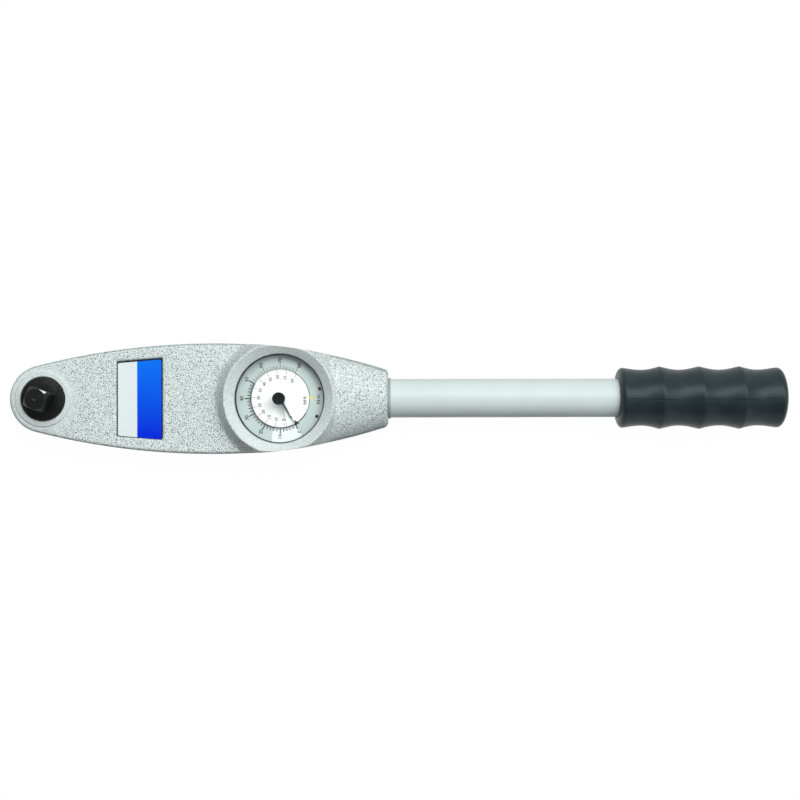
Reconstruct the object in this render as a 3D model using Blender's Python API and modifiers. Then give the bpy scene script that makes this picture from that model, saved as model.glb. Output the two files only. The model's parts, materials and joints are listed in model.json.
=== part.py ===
"""A dial torque wrench, lying on its back with its dial and its square drive up.

Units are metres. X runs along the wrench from the drive to the grip, Y across it and Z up.
The origin is under the middle of the whole wrench, on the surface that it lies on.
Lengths named DRIVE_TO_... are measured along X from the axis of the square drive.
"""

import math

import bmesh
import bpy
from mathutils import Vector

# Plan of the housing
HEAD_RADIUS = 0.0210
DRIVE_TO_WIDEST = 0.1050
WIDEST_RUN = 0.0030
RING_TO_SIDE = 0.0013
NECK_SIDE_RADIUS = 0.3420
NECK_CORNER_RADIUS = 0.0032
DRIVE_TO_DIAL = 0.1471
DRIVE_TO_NECK_START = 0.1680
DRIVE_TO_NECK_END = 0.2136

# Handle
TUBE_EXPOSED = 0.1420
GRIP_LENGTH = 0.1076
TUBE_RADIUS = 0.0120
TUBE_WALL = 0.0025
TUBE_AXIS_HEIGHT = 0.0200
TUBE_IN_NECK = 0.0256
GRIP_END_WALL = 0.0080
GRIP_FRONT_WALL = 0.0010
GRIP_RIM_RADIUS = 0.0187
GRIP_RIDGE_RADIUS = 0.0195
GRIP_GROOVE_RADIUS = 0.0172
GRIP_FRONT_DOME = 0.0039
GRIP_REAR_DOME = 0.0070
GRIP_GROOVES = 4
GRIP_GROOVE_SHARPNESS = 1.4
NECK_RING_WIDTH = 0.0014
NECK_RING_WALL = 0.0006

# Heights and walls of the housing
COVER_THICKNESS = 0.0027
COVER_EDGE_RADIUS = 0.0009
FACE_EDGE_RADIUS = 0.0022
WALL = 0.0030
HEAD_OVER_ARM = 0.0007
BOSS_RADIUS = 0.0168
BOSS_RISE = 0.0010
RING_SLOPE_RUN = 0.0054
RING_SLOPE_RISE = 0.0045
RING_CREST_WIDTH = 0.0010
RING_FLANK_WIDTH = 0.0110
SLOPE_FOOT_OVER_LENS = 0.0011
NECK_UNDER_CREST = 0.0010
NECK_OVER_TUBE = 0.0040
NECK_SIDE_UNDER_FACE = 0.0020
NECK_SIDE_UNDER_AXIS = 0.0020

# Gaps between pieces that touch on the real wrench
SEAT_GAP = 0.0003
FIT_GAP = 0.0001
TOOTH_GAP = 0.00008
HIDDEN_STEP = 0.00005

# Square drive and what turns with it
SQUARE_WIDTH = 0.0127
SQUARE_LENGTH = 0.0160
SQUARE_CORNER_RADIUS = 0.0083
SQUARE_END_RADIUS = 0.00545
SQUARE_TURN = math.radians(-21)
DIMPLE_RADIUS = 0.0014
DIMPLE_DEPTH = 0.0012
SHOULDER_RADIUS = 0.0136
SHOULDER_HEIGHT = 0.0031
SHOULDER_RISE = 0.0020
SHOULDER_CHAMFER = 0.0005
SPINDLE_RADIUS = 0.0095
SPINDLE_TIP = 0.0006
BUSH_WALL = 0.0032
REAR_BUSH_WALL = 0.0022
REAR_BUSH_HEIGHT = 0.0036
COVER_BOSS_WALL = 0.0030
WASHER_THICKNESS = 0.0006
WASHER_RADIUS = 0.0130
GROOVE_DEPTH = 0.0009
RETAINER_RADIUS = 0.0115
RETAINER_THICKNESS = 0.0008
RETAINER_OPENING = math.radians(40)
KEY_WIDTH = 0.0030
KEY_IN_SPINDLE = 0.0012
KEY_OUT = 0.0017
BEAM_EYE_WALL = 0.0057

# Measuring beam and its anchor
BEAM_HEIGHT = 0.0076
BEAM_THICKNESS = 0.0120
ANCHOR_LENGTH = 0.0110
ANCHOR_WIDTH = 0.0300
ANCHOR_PIN_RADIUS = 0.0020
ANCHOR_PIN_PITCH = 0.0050
ANCHOR_SCREW_PITCH = 0.0216
ANCHOR_SCREW_RADIUS = 0.0020
ANCHOR_SCREW_BITE = 0.0050
ANCHOR_SCREW_HEAD_RADIUS = 0.0030
ANCHOR_SCREW_HEAD_HEIGHT = 0.0030
TUBE_PIN_RADIUS = 0.0025
DRIVE_TO_TUBE_PIN = 0.2030

# Arm, sector and pinion: the arm's pin swings the sector, whose teeth turn the pinion
ARM_THICKNESS = 0.0020
ARM_EYE_WALL = 0.0047
ARM_TIP_RADIUS = 0.0036
ARM_TIP_CLEARANCE = 0.0010
ARM_FLARE = math.radians(25)
PICKOFF_RADIUS = 0.0012
SECTOR_SHORT_ARM = 0.0120
SECTOR_SWING = math.radians(24)
TOOTH_MODULE = 0.0005
PINION_TEETH = 12
SECTOR_TEETH_PER_TURN = 120
SECTOR_TEETH = 12
PRESSURE_ANGLE = math.radians(20)
SECTOR_ADDENDUM = 0.00035
PINION_ADDENDUM = 0.00045
DEDENDUM = 0.00062
SECTOR_OVER_ARM = 0.0007
SECTOR_THICKNESS = 0.0015
SECTOR_HUB_RADIUS = 0.0040
SECTOR_SIDE_ANGLE = math.radians(60)
SECTOR_FORK_HALF_WIDTH = 0.0032
SECTOR_FORK_END = 0.0026
SECTOR_ARBOR_RADIUS = 0.0015
ARBOR_COLLAR = 0.0009
PINION_HEIGHT = 0.0021
POINTER_ARBOR_RADIUS = 0.0012
POINTER_PIVOT_RADIUS = 0.0008
HAIRSPRING_OVER_PINION = 0.0007
HAIRSPRING_INNER_RADIUS = 0.0016
HAIRSPRING_OUTER_RADIUS = 0.0074
HAIRSPRING_TURNS = 3
HAIRSPRING_WIRE_RADIUS = 0.00015
SPRING_STUD_RADIUS = 0.0005

# Frame of the movement
MOVEMENT_PLATE = 0.0015
PLATE_OVER_SPRING = 0.0013
PLATE_FRONT_HALF_WIDTH = 0.0120
PLATE_REAR_HALF_WIDTH = 0.0170
PLATE_REAR = 0.0100
UPPER_PLATE_MARGIN = 0.0002
PILLAR_RADIUS = 0.0018
PILLAR_INSET = 0.0030
MOVEMENT_SCREW_RADIUS = 0.0010
MOVEMENT_SCREW_BITE = 0.0024
MOVEMENT_SCREW_HEAD_RADIUS = 0.0018
MOVEMENT_SCREW_HEAD_HEIGHT = 0.0014
MOVEMENT_SCREW_ANGLES = tuple(math.radians(angle) for angle in (75, 195, 315))

# Dial, pointers and lens
DIAL_OPENING_RADIUS = 0.0276
DIAL_LEDGE_WIDTH = 0.0041
DIAL_LEDGE_THICKNESS = 0.0037
DIAL_PLATE_THICKNESS = 0.0006
DIAL_SCREW_FROM_LEDGE = 0.0016
DIAL_SCREW_RADIUS = 0.0006
DIAL_SCREW_LENGTH = 0.0025
DIAL_SCREW_HEAD_RADIUS = 0.0010
DIAL_SCREW_HEAD_HEIGHT = 0.0006
DIAL_SCREW_ANGLES = tuple(math.radians(angle) for angle in (14, -26))
SPACER_WALL = 0.0009
SPACER_HEIGHT = 0.0032
LENS_THICKNESS = 0.0015
BEZEL_HEIGHT = 0.0011
BEZEL_WALL = 0.0010
POINTER_OVER_DIAL = 0.0009
POINTER_LENGTH = 0.0176
POINTER_TAIL = 0.0040
POINTER_THICKNESS = 0.0004
POINTER_WIDTH = 0.0014
POINTER_HUB_RADIUS = 0.0018
POINTER_HUB_HEIGHT = 0.0005
POINTER_ANGLE = math.radians(300)
MEMORY_OVER_HUB = 0.0006
MEMORY_LENGTH = 0.0170
MEMORY_WIDTH = 0.0008
MEMORY_THICKNESS = 0.0003
MEMORY_ANGLE = math.radians(285)
NEEDLE_BOSS_WALL = 0.0010
NEEDLE_TIP_SHARE = 0.25
KNOB_RADIUS = 0.00385
KNOB_HEIGHT = 0.0062
KNOB_CHAMFER = 0.0005
KNOB_SHAFT_RADIUS = 0.0012
KNOB_BUSH_WALL = 0.0011
KNOB_BUSH_FLANGE = 0.0006

# Name plate
DRIVE_TO_PLATE = 0.0456
PLATE_LENGTH = 0.0283
PLATE_WIDTH_FRONT = 0.0464
PLATE_WIDTH_REAR = 0.0506
PLATE_CORNER_RADIUS = 0.0012
PLATE_RECESS = 0.0013
NAME_PLATE_THICKNESS = 0.0006

# Cover screws, in pairs at these distances from the drive axis
COVER_SCREW_STATIONS = (0.0300, 0.0900, 0.2000)
COVER_SCREW_RADIUS = 0.0014
COVER_SCREW_LENGTH = 0.0110
COVER_SCREW_HEAD_RADIUS = 0.0027
COVER_SCREW_HEAD_HEIGHT = 0.0016
COVER_BOSS_RADIUS = 0.0040
COVER_BOSS_IN_WALL = 0.0010
NECK_SCREW_EDGE = 0.0020
SOCKET_WIDTH_SHARE = 0.5
SOCKET_DEPTH_SHARE = 0.6

# How finely round shapes are divided
FINE_STEPS = 56
ROUND_STEPS = 36
SMALL_STEPS = 12
CORNER_STEPS = 4

# Places that follow from the sizes above
RING_CREST_RADIUS = DIAL_OPENING_RADIUS + RING_SLOPE_RUN
HOUSING_HALF_WIDTH = RING_CREST_RADIUS + RING_TO_SIDE
DIAL_LEDGE_RADIUS = DIAL_OPENING_RADIUS - DIAL_LEDGE_WIDTH
DIAL_SCREW_CIRCLE = DIAL_LEDGE_RADIUS + DIAL_SCREW_FROM_LEDGE
UPPER_PLATE_RADIUS = DIAL_OPENING_RADIUS - UPPER_PLATE_MARGIN
OVERALL_LENGTH = HEAD_RADIUS + DRIVE_TO_NECK_END + TUBE_EXPOSED + GRIP_LENGTH
DRIVE_X = HEAD_RADIUS - OVERALL_LENGTH / 2
DIAL_X = DRIVE_X + DRIVE_TO_DIAL
NECK_END_X = DRIVE_X + DRIVE_TO_NECK_END
GRIP_X = NECK_END_X + TUBE_EXPOSED
DRIVE_TO_ANCHOR = DRIVE_TO_DIAL + UPPER_PLATE_RADIUS + 2 * SEAT_GAP + ANCHOR_LENGTH / 2
ANCHOR_X = DRIVE_X + DRIVE_TO_ANCHOR
HOUSING_BOTTOM = COVER_THICKNESS + SEAT_GAP

# Heights from the spindle's lower end up through the beam, the arm and the movement
BUSH_RADIUS = SPINDLE_RADIUS + BUSH_WALL
SPINDLE_END = SEAT_GAP
RETAINER_BOTTOM = SPINDLE_END + SPINDLE_TIP
REAR_BUSH_BOTTOM = RETAINER_BOTTOM + RETAINER_THICKNESS + SEAT_GAP
REAR_BUSH_TOP = REAR_BUSH_BOTTOM + REAR_BUSH_HEIGHT
REAR_BUSH_RADIUS = SPINDLE_RADIUS + REAR_BUSH_WALL
WASHER_BOTTOM = REAR_BUSH_TOP + SEAT_GAP
BEAM_BOTTOM = WASHER_BOTTOM + WASHER_THICKNESS + SEAT_GAP
BEAM_TOP = BEAM_BOTTOM + BEAM_HEIGHT
ARM_BOTTOM = BEAM_TOP + SEAT_GAP
ARM_TOP = ARM_BOTTOM + ARM_THICKNESS
HEAD_CEILING = ARM_TOP + HEAD_OVER_ARM
LOWER_PLATE_BOTTOM = BEAM_TOP + SEAT_GAP
LOWER_PLATE_TOP = LOWER_PLATE_BOTTOM + MOVEMENT_PLATE
SECTOR_BOTTOM = ARM_TOP + SECTOR_OVER_ARM
SECTOR_TOP = SECTOR_BOTTOM + SECTOR_THICKNESS
PINION_BOTTOM = SECTOR_BOTTOM - SEAT_GAP
PINION_TOP = PINION_BOTTOM + PINION_HEIGHT
HAIRSPRING_HEIGHT = PINION_TOP + HAIRSPRING_OVER_PINION
UPPER_PLATE_BOTTOM = HAIRSPRING_HEIGHT + PLATE_OVER_SPRING

# Heights of the housing's face, the dial and the lens, above the movement
CEILING = UPPER_PLATE_BOTTOM + MOVEMENT_PLATE + SEAT_GAP
FACE_HEIGHT = CEILING + WALL
SHOULDER_TOP = FACE_HEIGHT + SHOULDER_RISE
SHOULDER_BOTTOM = SHOULDER_TOP - SHOULDER_HEIGHT
FRONT_BUSH_BOTTOM = ARM_TOP + SEAT_GAP
FRONT_BUSH_TOP = SHOULDER_BOTTOM - SEAT_GAP
DIAL_LEDGE_TOP = CEILING + DIAL_LEDGE_THICKNESS
DIAL_TOP = DIAL_LEDGE_TOP + SEAT_GAP + DIAL_PLATE_THICKNESS
LENS_BOTTOM = DIAL_TOP + SPACER_HEIGHT + 2 * SEAT_GAP
LENS_TOP = LENS_BOTTOM + LENS_THICKNESS
LENS_RADIUS = DIAL_OPENING_RADIUS - SEAT_GAP
RING_SLOPE_FOOT = LENS_TOP + SLOPE_FOOT_OVER_LENS
RING_CREST_HEIGHT = RING_SLOPE_FOOT + RING_SLOPE_RISE

PINION_PITCH_RADIUS = TOOTH_MODULE * PINION_TEETH / 2
SECTOR_PITCH_RADIUS = TOOTH_MODULE * SECTOR_TEETH_PER_TURN / 2
SECTOR_PIVOT_X = DIAL_X - SECTOR_PITCH_RADIUS - PINION_PITCH_RADIUS
PIN_REACH = SECTOR_PIVOT_X - SECTOR_SHORT_ARM - DRIVE_X
PIN_OFFSET = SECTOR_SHORT_ARM * math.tan(SECTOR_SWING / 2)
ARM_ANGLE = math.asin(PIN_OFFSET / PIN_REACH)
PLATE_FRONT_X = DRIVE_X + PIN_REACH + ARM_TIP_RADIUS + ARM_TIP_CLEARANCE

POINTER_BOTTOM = DIAL_TOP + POINTER_OVER_DIAL
POINTER_TOP = POINTER_BOTTOM + POINTER_THICKNESS
POINTER_HUB_TOP = POINTER_TOP + FIT_GAP + POINTER_HUB_HEIGHT
MEMORY_BOTTOM = POINTER_HUB_TOP + MEMORY_OVER_HUB
KNOB_BOTTOM = LENS_TOP + SEAT_GAP + KNOB_BUSH_FLANGE + SEAT_GAP
KNOB_BUSH_RADIUS = KNOB_SHAFT_RADIUS + FIT_GAP + KNOB_BUSH_WALL

# Centre and radius of the front side curve, which is tangent to the round head
FRONT_SIDE_RADIUS = (
    DRIVE_TO_WIDEST**2 + HOUSING_HALF_WIDTH**2 - HEAD_RADIUS**2
) / (2 * (HOUSING_HALF_WIDTH - HEAD_RADIUS))
FRONT_SIDE_CENTRE_Y = HOUSING_HALF_WIDTH - FRONT_SIDE_RADIUS
NECK_SIDE_CENTRE_Y = HOUSING_HALF_WIDTH - NECK_SIDE_RADIUS
HEAD_TANGENT_ANGLE = math.atan2(-FRONT_SIDE_CENTRE_Y, -DRIVE_TO_WIDEST)
DRIVE_TO_NECK_CURVE = DRIVE_TO_WIDEST + WIDEST_RUN
DRIVE_TO_CORNER = DRIVE_TO_NECK_END - NECK_CORNER_RADIUS
CORNER_CENTRE_Y = NECK_SIDE_CENTRE_Y + math.sqrt(
    (NECK_SIDE_RADIUS - NECK_CORNER_RADIUS) ** 2
    - (DRIVE_TO_CORNER - DRIVE_TO_NECK_CURVE) ** 2
)
CORNER_START_ANGLE = math.atan2(
    CORNER_CENTRE_Y - NECK_SIDE_CENTRE_Y, DRIVE_TO_CORNER - DRIVE_TO_NECK_CURVE
)


# Scene helpers


def clear_scene():
    for obj in list(bpy.data.objects):
        bpy.data.objects.remove(obj, do_unlink=True)


def new_collection(name):
    collection = bpy.data.collections.new(name)
    bpy.context.scene.collection.children.link(collection)
    return collection


def finish(name, color, roughness, metallic):
    material = bpy.data.materials.new(name)
    material.use_nodes = True
    shader = material.node_tree.nodes["Principled BSDF"]
    shader.inputs["Base Color"].default_value = (*color, 1.0)
    shader.inputs["Roughness"].default_value = roughness
    shader.inputs["Metallic"].default_value = metallic
    return material


clear_scene()
WRENCH = new_collection("dial_torque_wrench")
CUTTERS = new_collection("cutters")

HAMMERED_SILVER = finish("hammered_silver", (0.62, 0.66, 0.65), 0.45, 0.4)
BLACK_OXIDE = finish("black_oxide", (0.015, 0.016, 0.017), 0.35, 0.7)
MINT_PAINT = finish("mint_grey_paint", (0.50, 0.60, 0.57), 0.4, 0.0)
BLACK_PLASTIC = finish("black_plastic", (0.02, 0.022, 0.025), 0.45, 0.0)
GRIP_PLASTIC = finish("grip_plastic", (0.02, 0.022, 0.03), 0.35, 0.0)
STEEL = finish("steel", (0.55, 0.56, 0.58), 0.3, 1.0)
SPRING_STEEL = finish("spring_steel", (0.36, 0.38, 0.42), 0.3, 1.0)
BRASS = finish("brass", (0.78, 0.60, 0.30), 0.3, 1.0)
BRONZE = finish("bronze", (0.60, 0.38, 0.20), 0.4, 1.0)
WHITE_DIAL = finish("white_dial", (0.85, 0.88, 0.87), 0.5, 0.0)
CLEAR_LENS = finish("clear_lens", (0.85, 0.92, 0.90), 0.05, 0.0)
BLUE_PLATE = finish("blue_plate", (0.02, 0.10, 0.75), 0.35, 0.0)
GREY_RUBBER = finish("grey_rubber", (0.35, 0.38, 0.37), 0.7, 0.0)


def add(name, mesh, material, at=(0.0, 0.0, 0.0), parent=None):
    """Puts a mesh in the scene as a piece of the wrench."""
    obj = bpy.data.objects.new(name, mesh)
    WRENCH.objects.link(obj)
    mesh.materials.append(material)
    obj.parent = parent
    obj.location = at
    return obj


def axis_empty(name, x):
    """An empty on a joint's axis, which carries what turns there."""
    empty = bpy.data.objects.new(name, None)
    empty.empty_display_size = 0.01
    empty.location = (x, 0, 0)
    WRENCH.objects.link(empty)
    return empty


def shade(mesh):
    mesh.shade_smooth()
    mesh.set_sharp_from_angle(angle=math.radians(35))


def turned(name, profile, material, at=(0.0, 0.0, 0.0), steps=ROUND_STEPS, parent=None, ring=False):
    """A solid turned about its own Z from (radius, height) points, listed down its outer side."""
    count = len(profile)
    edges = [(i, i + 1) for i in range(count - 1)]
    if ring:
        edges.append((count - 1, 0))
    mesh = bpy.data.meshes.new(name)
    mesh.from_pydata([(radius, 0, height) for radius, height in profile], edges, [])
    obj = add(name, mesh, material, at, parent)
    screw = obj.modifiers.new("turn", "SCREW")
    screw.steps = steps
    screw.render_steps = steps
    screw.use_merge_vertices = True
    screw.merge_threshold = 1e-6
    return obj


def rod(name, radius, bottom, top, material, at=(0.0, 0.0), steps=ROUND_STEPS, parent=None):
    """An upright cylinder."""
    profile = [(0, top), (radius, top), (radius, bottom), (0, bottom)]
    return turned(name, profile, material, (*at, 0), steps, parent)


def tube_ring(name, inner, outer, bottom, top, material, at=(0.0, 0.0), steps=ROUND_STEPS, parent=None):
    """An upright ring."""
    profile = [(outer, top), (outer, bottom), (inner, bottom), (inner, top)]
    return turned(name, profile, material, (*at, 0), steps, parent, ring=True)


def box(name, low, high, material):
    mesh = bpy.data.meshes.new(name)
    shape = bmesh.new()
    bmesh.ops.create_cube(shape, size=1)
    centre = (Vector(low) + Vector(high)) / 2
    bmesh.ops.scale(shape, vec=Vector(high) - Vector(low), verts=shape.verts)
    shape.to_mesh(mesh)
    shape.free()
    return add(name, mesh, material, centre)


def plate(name, outlines, bottom, top, material, at=(0.0, 0.0), parent=None):
    """A flat piece from outlines in plan: the first is its edge and the others are holes."""
    curve = bpy.data.curves.new(name, "CURVE")
    curve.dimensions = "2D"
    curve.fill_mode = "BOTH"
    curve.extrude = (top - bottom) / 2
    for outline in outlines:
        spline = curve.splines.new("POLY")
        spline.points.add(len(outline) - 1)
        for point, (x, y) in zip(spline.points, outline):
            point.co = (x, y, 0, 1)
        spline.use_cyclic_u = True
    guide = bpy.data.objects.new(name + "_outline", curve)
    bpy.context.scene.collection.objects.link(guide)
    graph = bpy.context.evaluated_depsgraph_get()
    mesh = bpy.data.meshes.new_from_object(guide.evaluated_get(graph))
    bpy.data.objects.remove(guide)
    shape = bmesh.new()
    shape.from_mesh(mesh)
    bmesh.ops.remove_doubles(shape, verts=shape.verts, dist=1e-6)
    shape.to_mesh(mesh)
    shape.free()
    mesh.materials.clear()
    mesh.name = name
    shade(mesh)
    return add(name, mesh, material, (*at, (top + bottom) / 2), parent)


def combine(obj, other, operation):
    """Cuts, joins or crosses a piece with a helper, which then leaves the render."""
    modifier = obj.modifiers.new(other.name, "BOOLEAN")
    modifier.operation = operation
    modifier.object = other
    other.hide_render = True
    other.display_type = "WIRE"
    WRENCH.objects.unlink(other)
    CUTTERS.objects.link(other)


def solve_as_manifold(obj):
    """For a piece with many cuts, where the exact solver leaves open edges."""
    for modifier in obj.modifiers:
        if modifier.type == "BOOLEAN":
            modifier.solver = "MANIFOLD"


def cut(obj, cutter):
    combine(obj, cutter, "DIFFERENCE")


def join(obj, other):
    combine(obj, other, "UNION")


def cut_hole(obj, name, radius, bottom, top, at, steps=SMALL_STEPS):
    cut(obj, rod(f"{name}_cutter", radius, bottom, top, STEEL, at, steps))


def circle(radius, centre=(0.0, 0.0), steps=SMALL_STEPS):
    return arc(radius, 0, 2 * math.pi * (1 - 1 / steps), centre, steps - 1)


def arc(radius, start, end, centre=(0.0, 0.0), steps=ROUND_STEPS):
    """Points along an arc, both ends included."""
    angles = [start + (end - start) * i / steps for i in range(steps + 1)]
    return [(centre[0] + radius * math.cos(a), centre[1] + radius * math.sin(a)) for a in angles]


def mirrored(half):
    """Closes an outline from its +Y half, which runs from the nose backwards."""
    return half + [(x, -y) for x, y in reversed(half) if y > 0]


# Plan of the housing


def half_width(distance, inset=0.0):
    """Half the housing's width at a distance from the drive axis, drawn in by an inset."""
    tangent_x = (HEAD_RADIUS - inset) * math.cos(HEAD_TANGENT_ANGLE)
    if distance <= tangent_x:
        return math.sqrt(max(0.0, (HEAD_RADIUS - inset) ** 2 - distance**2))
    if distance <= DRIVE_TO_WIDEST:
        radius = FRONT_SIDE_RADIUS - inset
        return FRONT_SIDE_CENTRE_Y + math.sqrt(radius**2 - (distance - DRIVE_TO_WIDEST) ** 2)
    if distance <= DRIVE_TO_NECK_CURVE:
        return HOUSING_HALF_WIDTH - inset
    corner_radius = NECK_CORNER_RADIUS - inset
    if distance <= DRIVE_TO_CORNER + corner_radius * math.cos(CORNER_START_ANGLE):
        radius = NECK_SIDE_RADIUS - inset
        return NECK_SIDE_CENTRE_Y + math.sqrt(radius**2 - (distance - DRIVE_TO_NECK_CURVE) ** 2)
    return CORNER_CENTRE_Y + math.sqrt(max(0.0, corner_radius**2 - (distance - DRIVE_TO_CORNER) ** 2))


def side_stations(inset):
    """Distances from the drive axis at which the side curve gets a point, nose to neck end."""
    nose_steps = 8
    side_steps = 8
    nose = HEAD_RADIUS - inset
    angles = [
        math.pi + (HEAD_TANGENT_ANGLE - math.pi) * i / nose_steps for i in range(nose_steps + 1)
    ]
    stations = [nose * math.cos(angle) for angle in angles]
    front = DRIVE_TO_WIDEST - stations[-1]
    stations += [stations[-1] + front * i / side_steps for i in range(1, side_steps + 1)]
    corner_radius = NECK_CORNER_RADIUS - inset
    corner_start = DRIVE_TO_CORNER + corner_radius * math.cos(CORNER_START_ANGLE)
    rear = corner_start - DRIVE_TO_NECK_CURVE
    stations += [DRIVE_TO_NECK_CURVE + rear * i / side_steps for i in range(side_steps + 1)]
    for i in range(1, CORNER_STEPS + 1):
        angle = CORNER_START_ANGLE * (1 - i / CORNER_STEPS)
        stations.append(DRIVE_TO_CORNER + corner_radius * math.cos(angle))
    return stations


def housing_outline(inset=0.0, start=-HEAD_RADIUS, end=DRIVE_TO_NECK_END):
    """The housing's outline in world X and Y, drawn in by an inset and cut off square at start and end."""
    first = max(start, inset - HEAD_RADIUS)
    last = min(end, DRIVE_TO_NECK_END - inset)
    margin = 1e-5
    inner = [s for s in side_stations(inset) if first + margin < s < last - margin]
    half = [(DRIVE_X + s, half_width(s, inset)) for s in [first, *inner, last]]
    return mirrored(half)


def bevel_top_edge(obj, width):
    """Rounds the edges of the top face of a plate."""
    mesh = obj.data
    top = max(vertex.co.z for vertex in mesh.vertices)
    weights = mesh.attributes.new("bevel_weight_edge", "FLOAT", "EDGE")
    edge_use = {}
    for polygon in mesh.polygons:
        for key in polygon.edge_keys:
            edge_use.setdefault(key, []).append(polygon.normal.z)
    for edge in mesh.edges:
        ends_on_top = all(mesh.vertices[i].co.z > top - 1e-6 for i in edge.vertices)
        meets_side = min(abs(z) for z in edge_use[edge.key]) < 0.5
        weights.data[edge.index].value = 1.0 if ends_on_top and meets_side else 0.0
    bevel = obj.modifiers.new("top_edge", "BEVEL")
    bevel.limit_method = "WEIGHT"
    bevel.width = width
    bevel.segments = 3


# Housing and back cover


def ring_form():
    """The raised ring round the dial, as a solid disc with its outer flank."""
    crest_outer = RING_CREST_RADIUS + RING_CREST_WIDTH
    foot = crest_outer + RING_FLANK_WIDTH
    drop = RING_CREST_HEIGHT - FACE_HEIGHT
    flank = []
    flank_steps = 5
    for i in range(flank_steps + 1):
        share = i / flank_steps
        ease = (share + share * share * (3 - 2 * share)) / 2
        flank.append((crest_outer + (foot - crest_outer) * share, RING_CREST_HEIGHT - drop * ease))
    profile = [(0, RING_CREST_HEIGHT), *flank, (foot, FACE_HEIGHT - WALL / 2), (0, FACE_HEIGHT - WALL / 2)]
    ring = turned("ring_form", profile, HAMMERED_SILVER, (DIAL_X, 0, 0), FINE_STEPS)
    tall = plate(
        "ring_limit",
        [housing_outline(HIDDEN_STEP)],
        HOUSING_BOTTOM + WALL / 2,
        RING_CREST_HEIGHT + WALL,
        HAMMERED_SILVER,
    )
    combine(ring, tall, "INTERSECT")
    return ring


def neck_section(distance):
    """The neck's arched section in Y and Z at a distance from the drive axis."""
    share = (distance - DRIVE_TO_DIAL) / (DRIVE_TO_NECK_END - DRIVE_TO_DIAL)
    width = half_width(distance, HIDDEN_STEP)
    full_width = half_width(min(distance, DRIVE_TO_CORNER), HIDDEN_STEP)
    side_at_dial = FACE_HEIGHT - NECK_SIDE_UNDER_FACE
    side_at_end = TUBE_AXIS_HEIGHT - NECK_SIDE_UNDER_AXIS
    crown_at_dial = RING_CREST_HEIGHT - NECK_UNDER_CREST
    crown_at_end = TUBE_AXIS_HEIGHT + TUBE_RADIUS + NECK_OVER_TUBE
    side = side_at_dial + (side_at_end - side_at_dial) * share
    crown = crown_at_dial + (crown_at_end - crown_at_dial) * share
    crown -= max(0.0, full_width - width) if distance > DRIVE_TO_CORNER else 0.0
    arch_steps = 12
    points = [(width, HOUSING_BOTTOM + HIDDEN_STEP)]
    for i in range(arch_steps + 1):
        angle = math.pi * i / arch_steps
        points.append((width * math.cos(angle), side + (crown - side) * math.sin(angle)))
    points.append((-width, HOUSING_BOTTOM + HIDDEN_STEP))
    return points


def neck_form():
    """The neck, a loft through arched sections that narrow towards the tube."""
    straight_steps = 6
    run = DRIVE_TO_CORNER - DRIVE_TO_DIAL
    stations = [DRIVE_TO_DIAL + run * i / straight_steps for i in range(straight_steps + 1)]
    for i in range(1, CORNER_STEPS + 1):
        angle = CORNER_START_ANGLE * (1 - i / CORNER_STEPS)
        stations.append(DRIVE_TO_CORNER + (NECK_CORNER_RADIUS - HIDDEN_STEP) * math.cos(angle))
    shape = bmesh.new()
    rings = []
    for distance in stations:
        section = neck_section(distance)
        rings.append([shape.verts.new((DRIVE_X + distance, y, z)) for y, z in section])
    for ring, following in zip(rings, rings[1:]):
        for i in range(len(ring)):
            j = (i + 1) % len(ring)
            shape.faces.new((ring[i], ring[j], following[j], following[i]))
    shape.faces.new(reversed(rings[0]))
    shape.faces.new(rings[-1])
    bmesh.ops.recalc_face_normals(shape, faces=shape.faces)
    mesh = bpy.data.meshes.new("neck_form")
    shape.to_mesh(mesh)
    shape.free()
    return add("neck_form", mesh, HAMMERED_SILVER)


def cover_screw_places():
    """Where the cover's screws go, in mirrored pairs just inside the walls."""
    places = []
    for distance in COVER_SCREW_STATIONS:
        if distance < DRIVE_TO_NECK_START:
            y = half_width(distance) - WALL - COVER_BOSS_RADIUS + COVER_BOSS_IN_WALL
        else:
            y = half_width(distance) - COVER_SCREW_HEAD_RADIUS - NECK_SCREW_EDGE
        places += [(DRIVE_X + distance, y), (DRIVE_X + distance, -y)]
    return places


def movement_screw_places():
    circle_radius = (DIAL_LEDGE_RADIUS + UPPER_PLATE_RADIUS) / 2
    return [
        (DIAL_X + circle_radius * math.cos(angle), circle_radius * math.sin(angle))
        for angle in MOVEMENT_SCREW_ANGLES
    ]


def dial_screw_places():
    return [
        (DIAL_X + DIAL_SCREW_CIRCLE * math.cos(angle), DIAL_SCREW_CIRCLE * math.sin(angle))
        for angle in DIAL_SCREW_ANGLES
    ]


def anchor_screw_places():
    return [(ANCHOR_X, sign * ANCHOR_SCREW_PITCH / 2) for sign in (1, -1)]


def anchor_pin_places():
    return [(ANCHOR_X + sign * ANCHOR_PIN_PITCH / 2, 0) for sign in (-1, 1)]


def plate_outline(inset):
    """The name plate's trapezium with rounded corners, drawn in by an inset."""
    front = DRIVE_X + DRIVE_TO_PLATE + inset
    rear = front + PLATE_LENGTH - 2 * inset
    half_front = PLATE_WIDTH_FRONT / 2 - inset
    half_rear = PLATE_WIDTH_REAR / 2 - inset
    radius = PLATE_CORNER_RADIUS
    corners = [
        (rear - radius, half_rear - radius, 0),
        (front + radius, half_front - radius, 1),
        (front + radius, radius - half_front, 2),
        (rear - radius, radius - half_rear, 3),
    ]
    points = []
    for x, y, quarter in corners:
        start = quarter * math.pi / 2
        points += arc(radius, start, start + math.pi / 2, (x, y), CORNER_STEPS)
    return points


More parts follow.
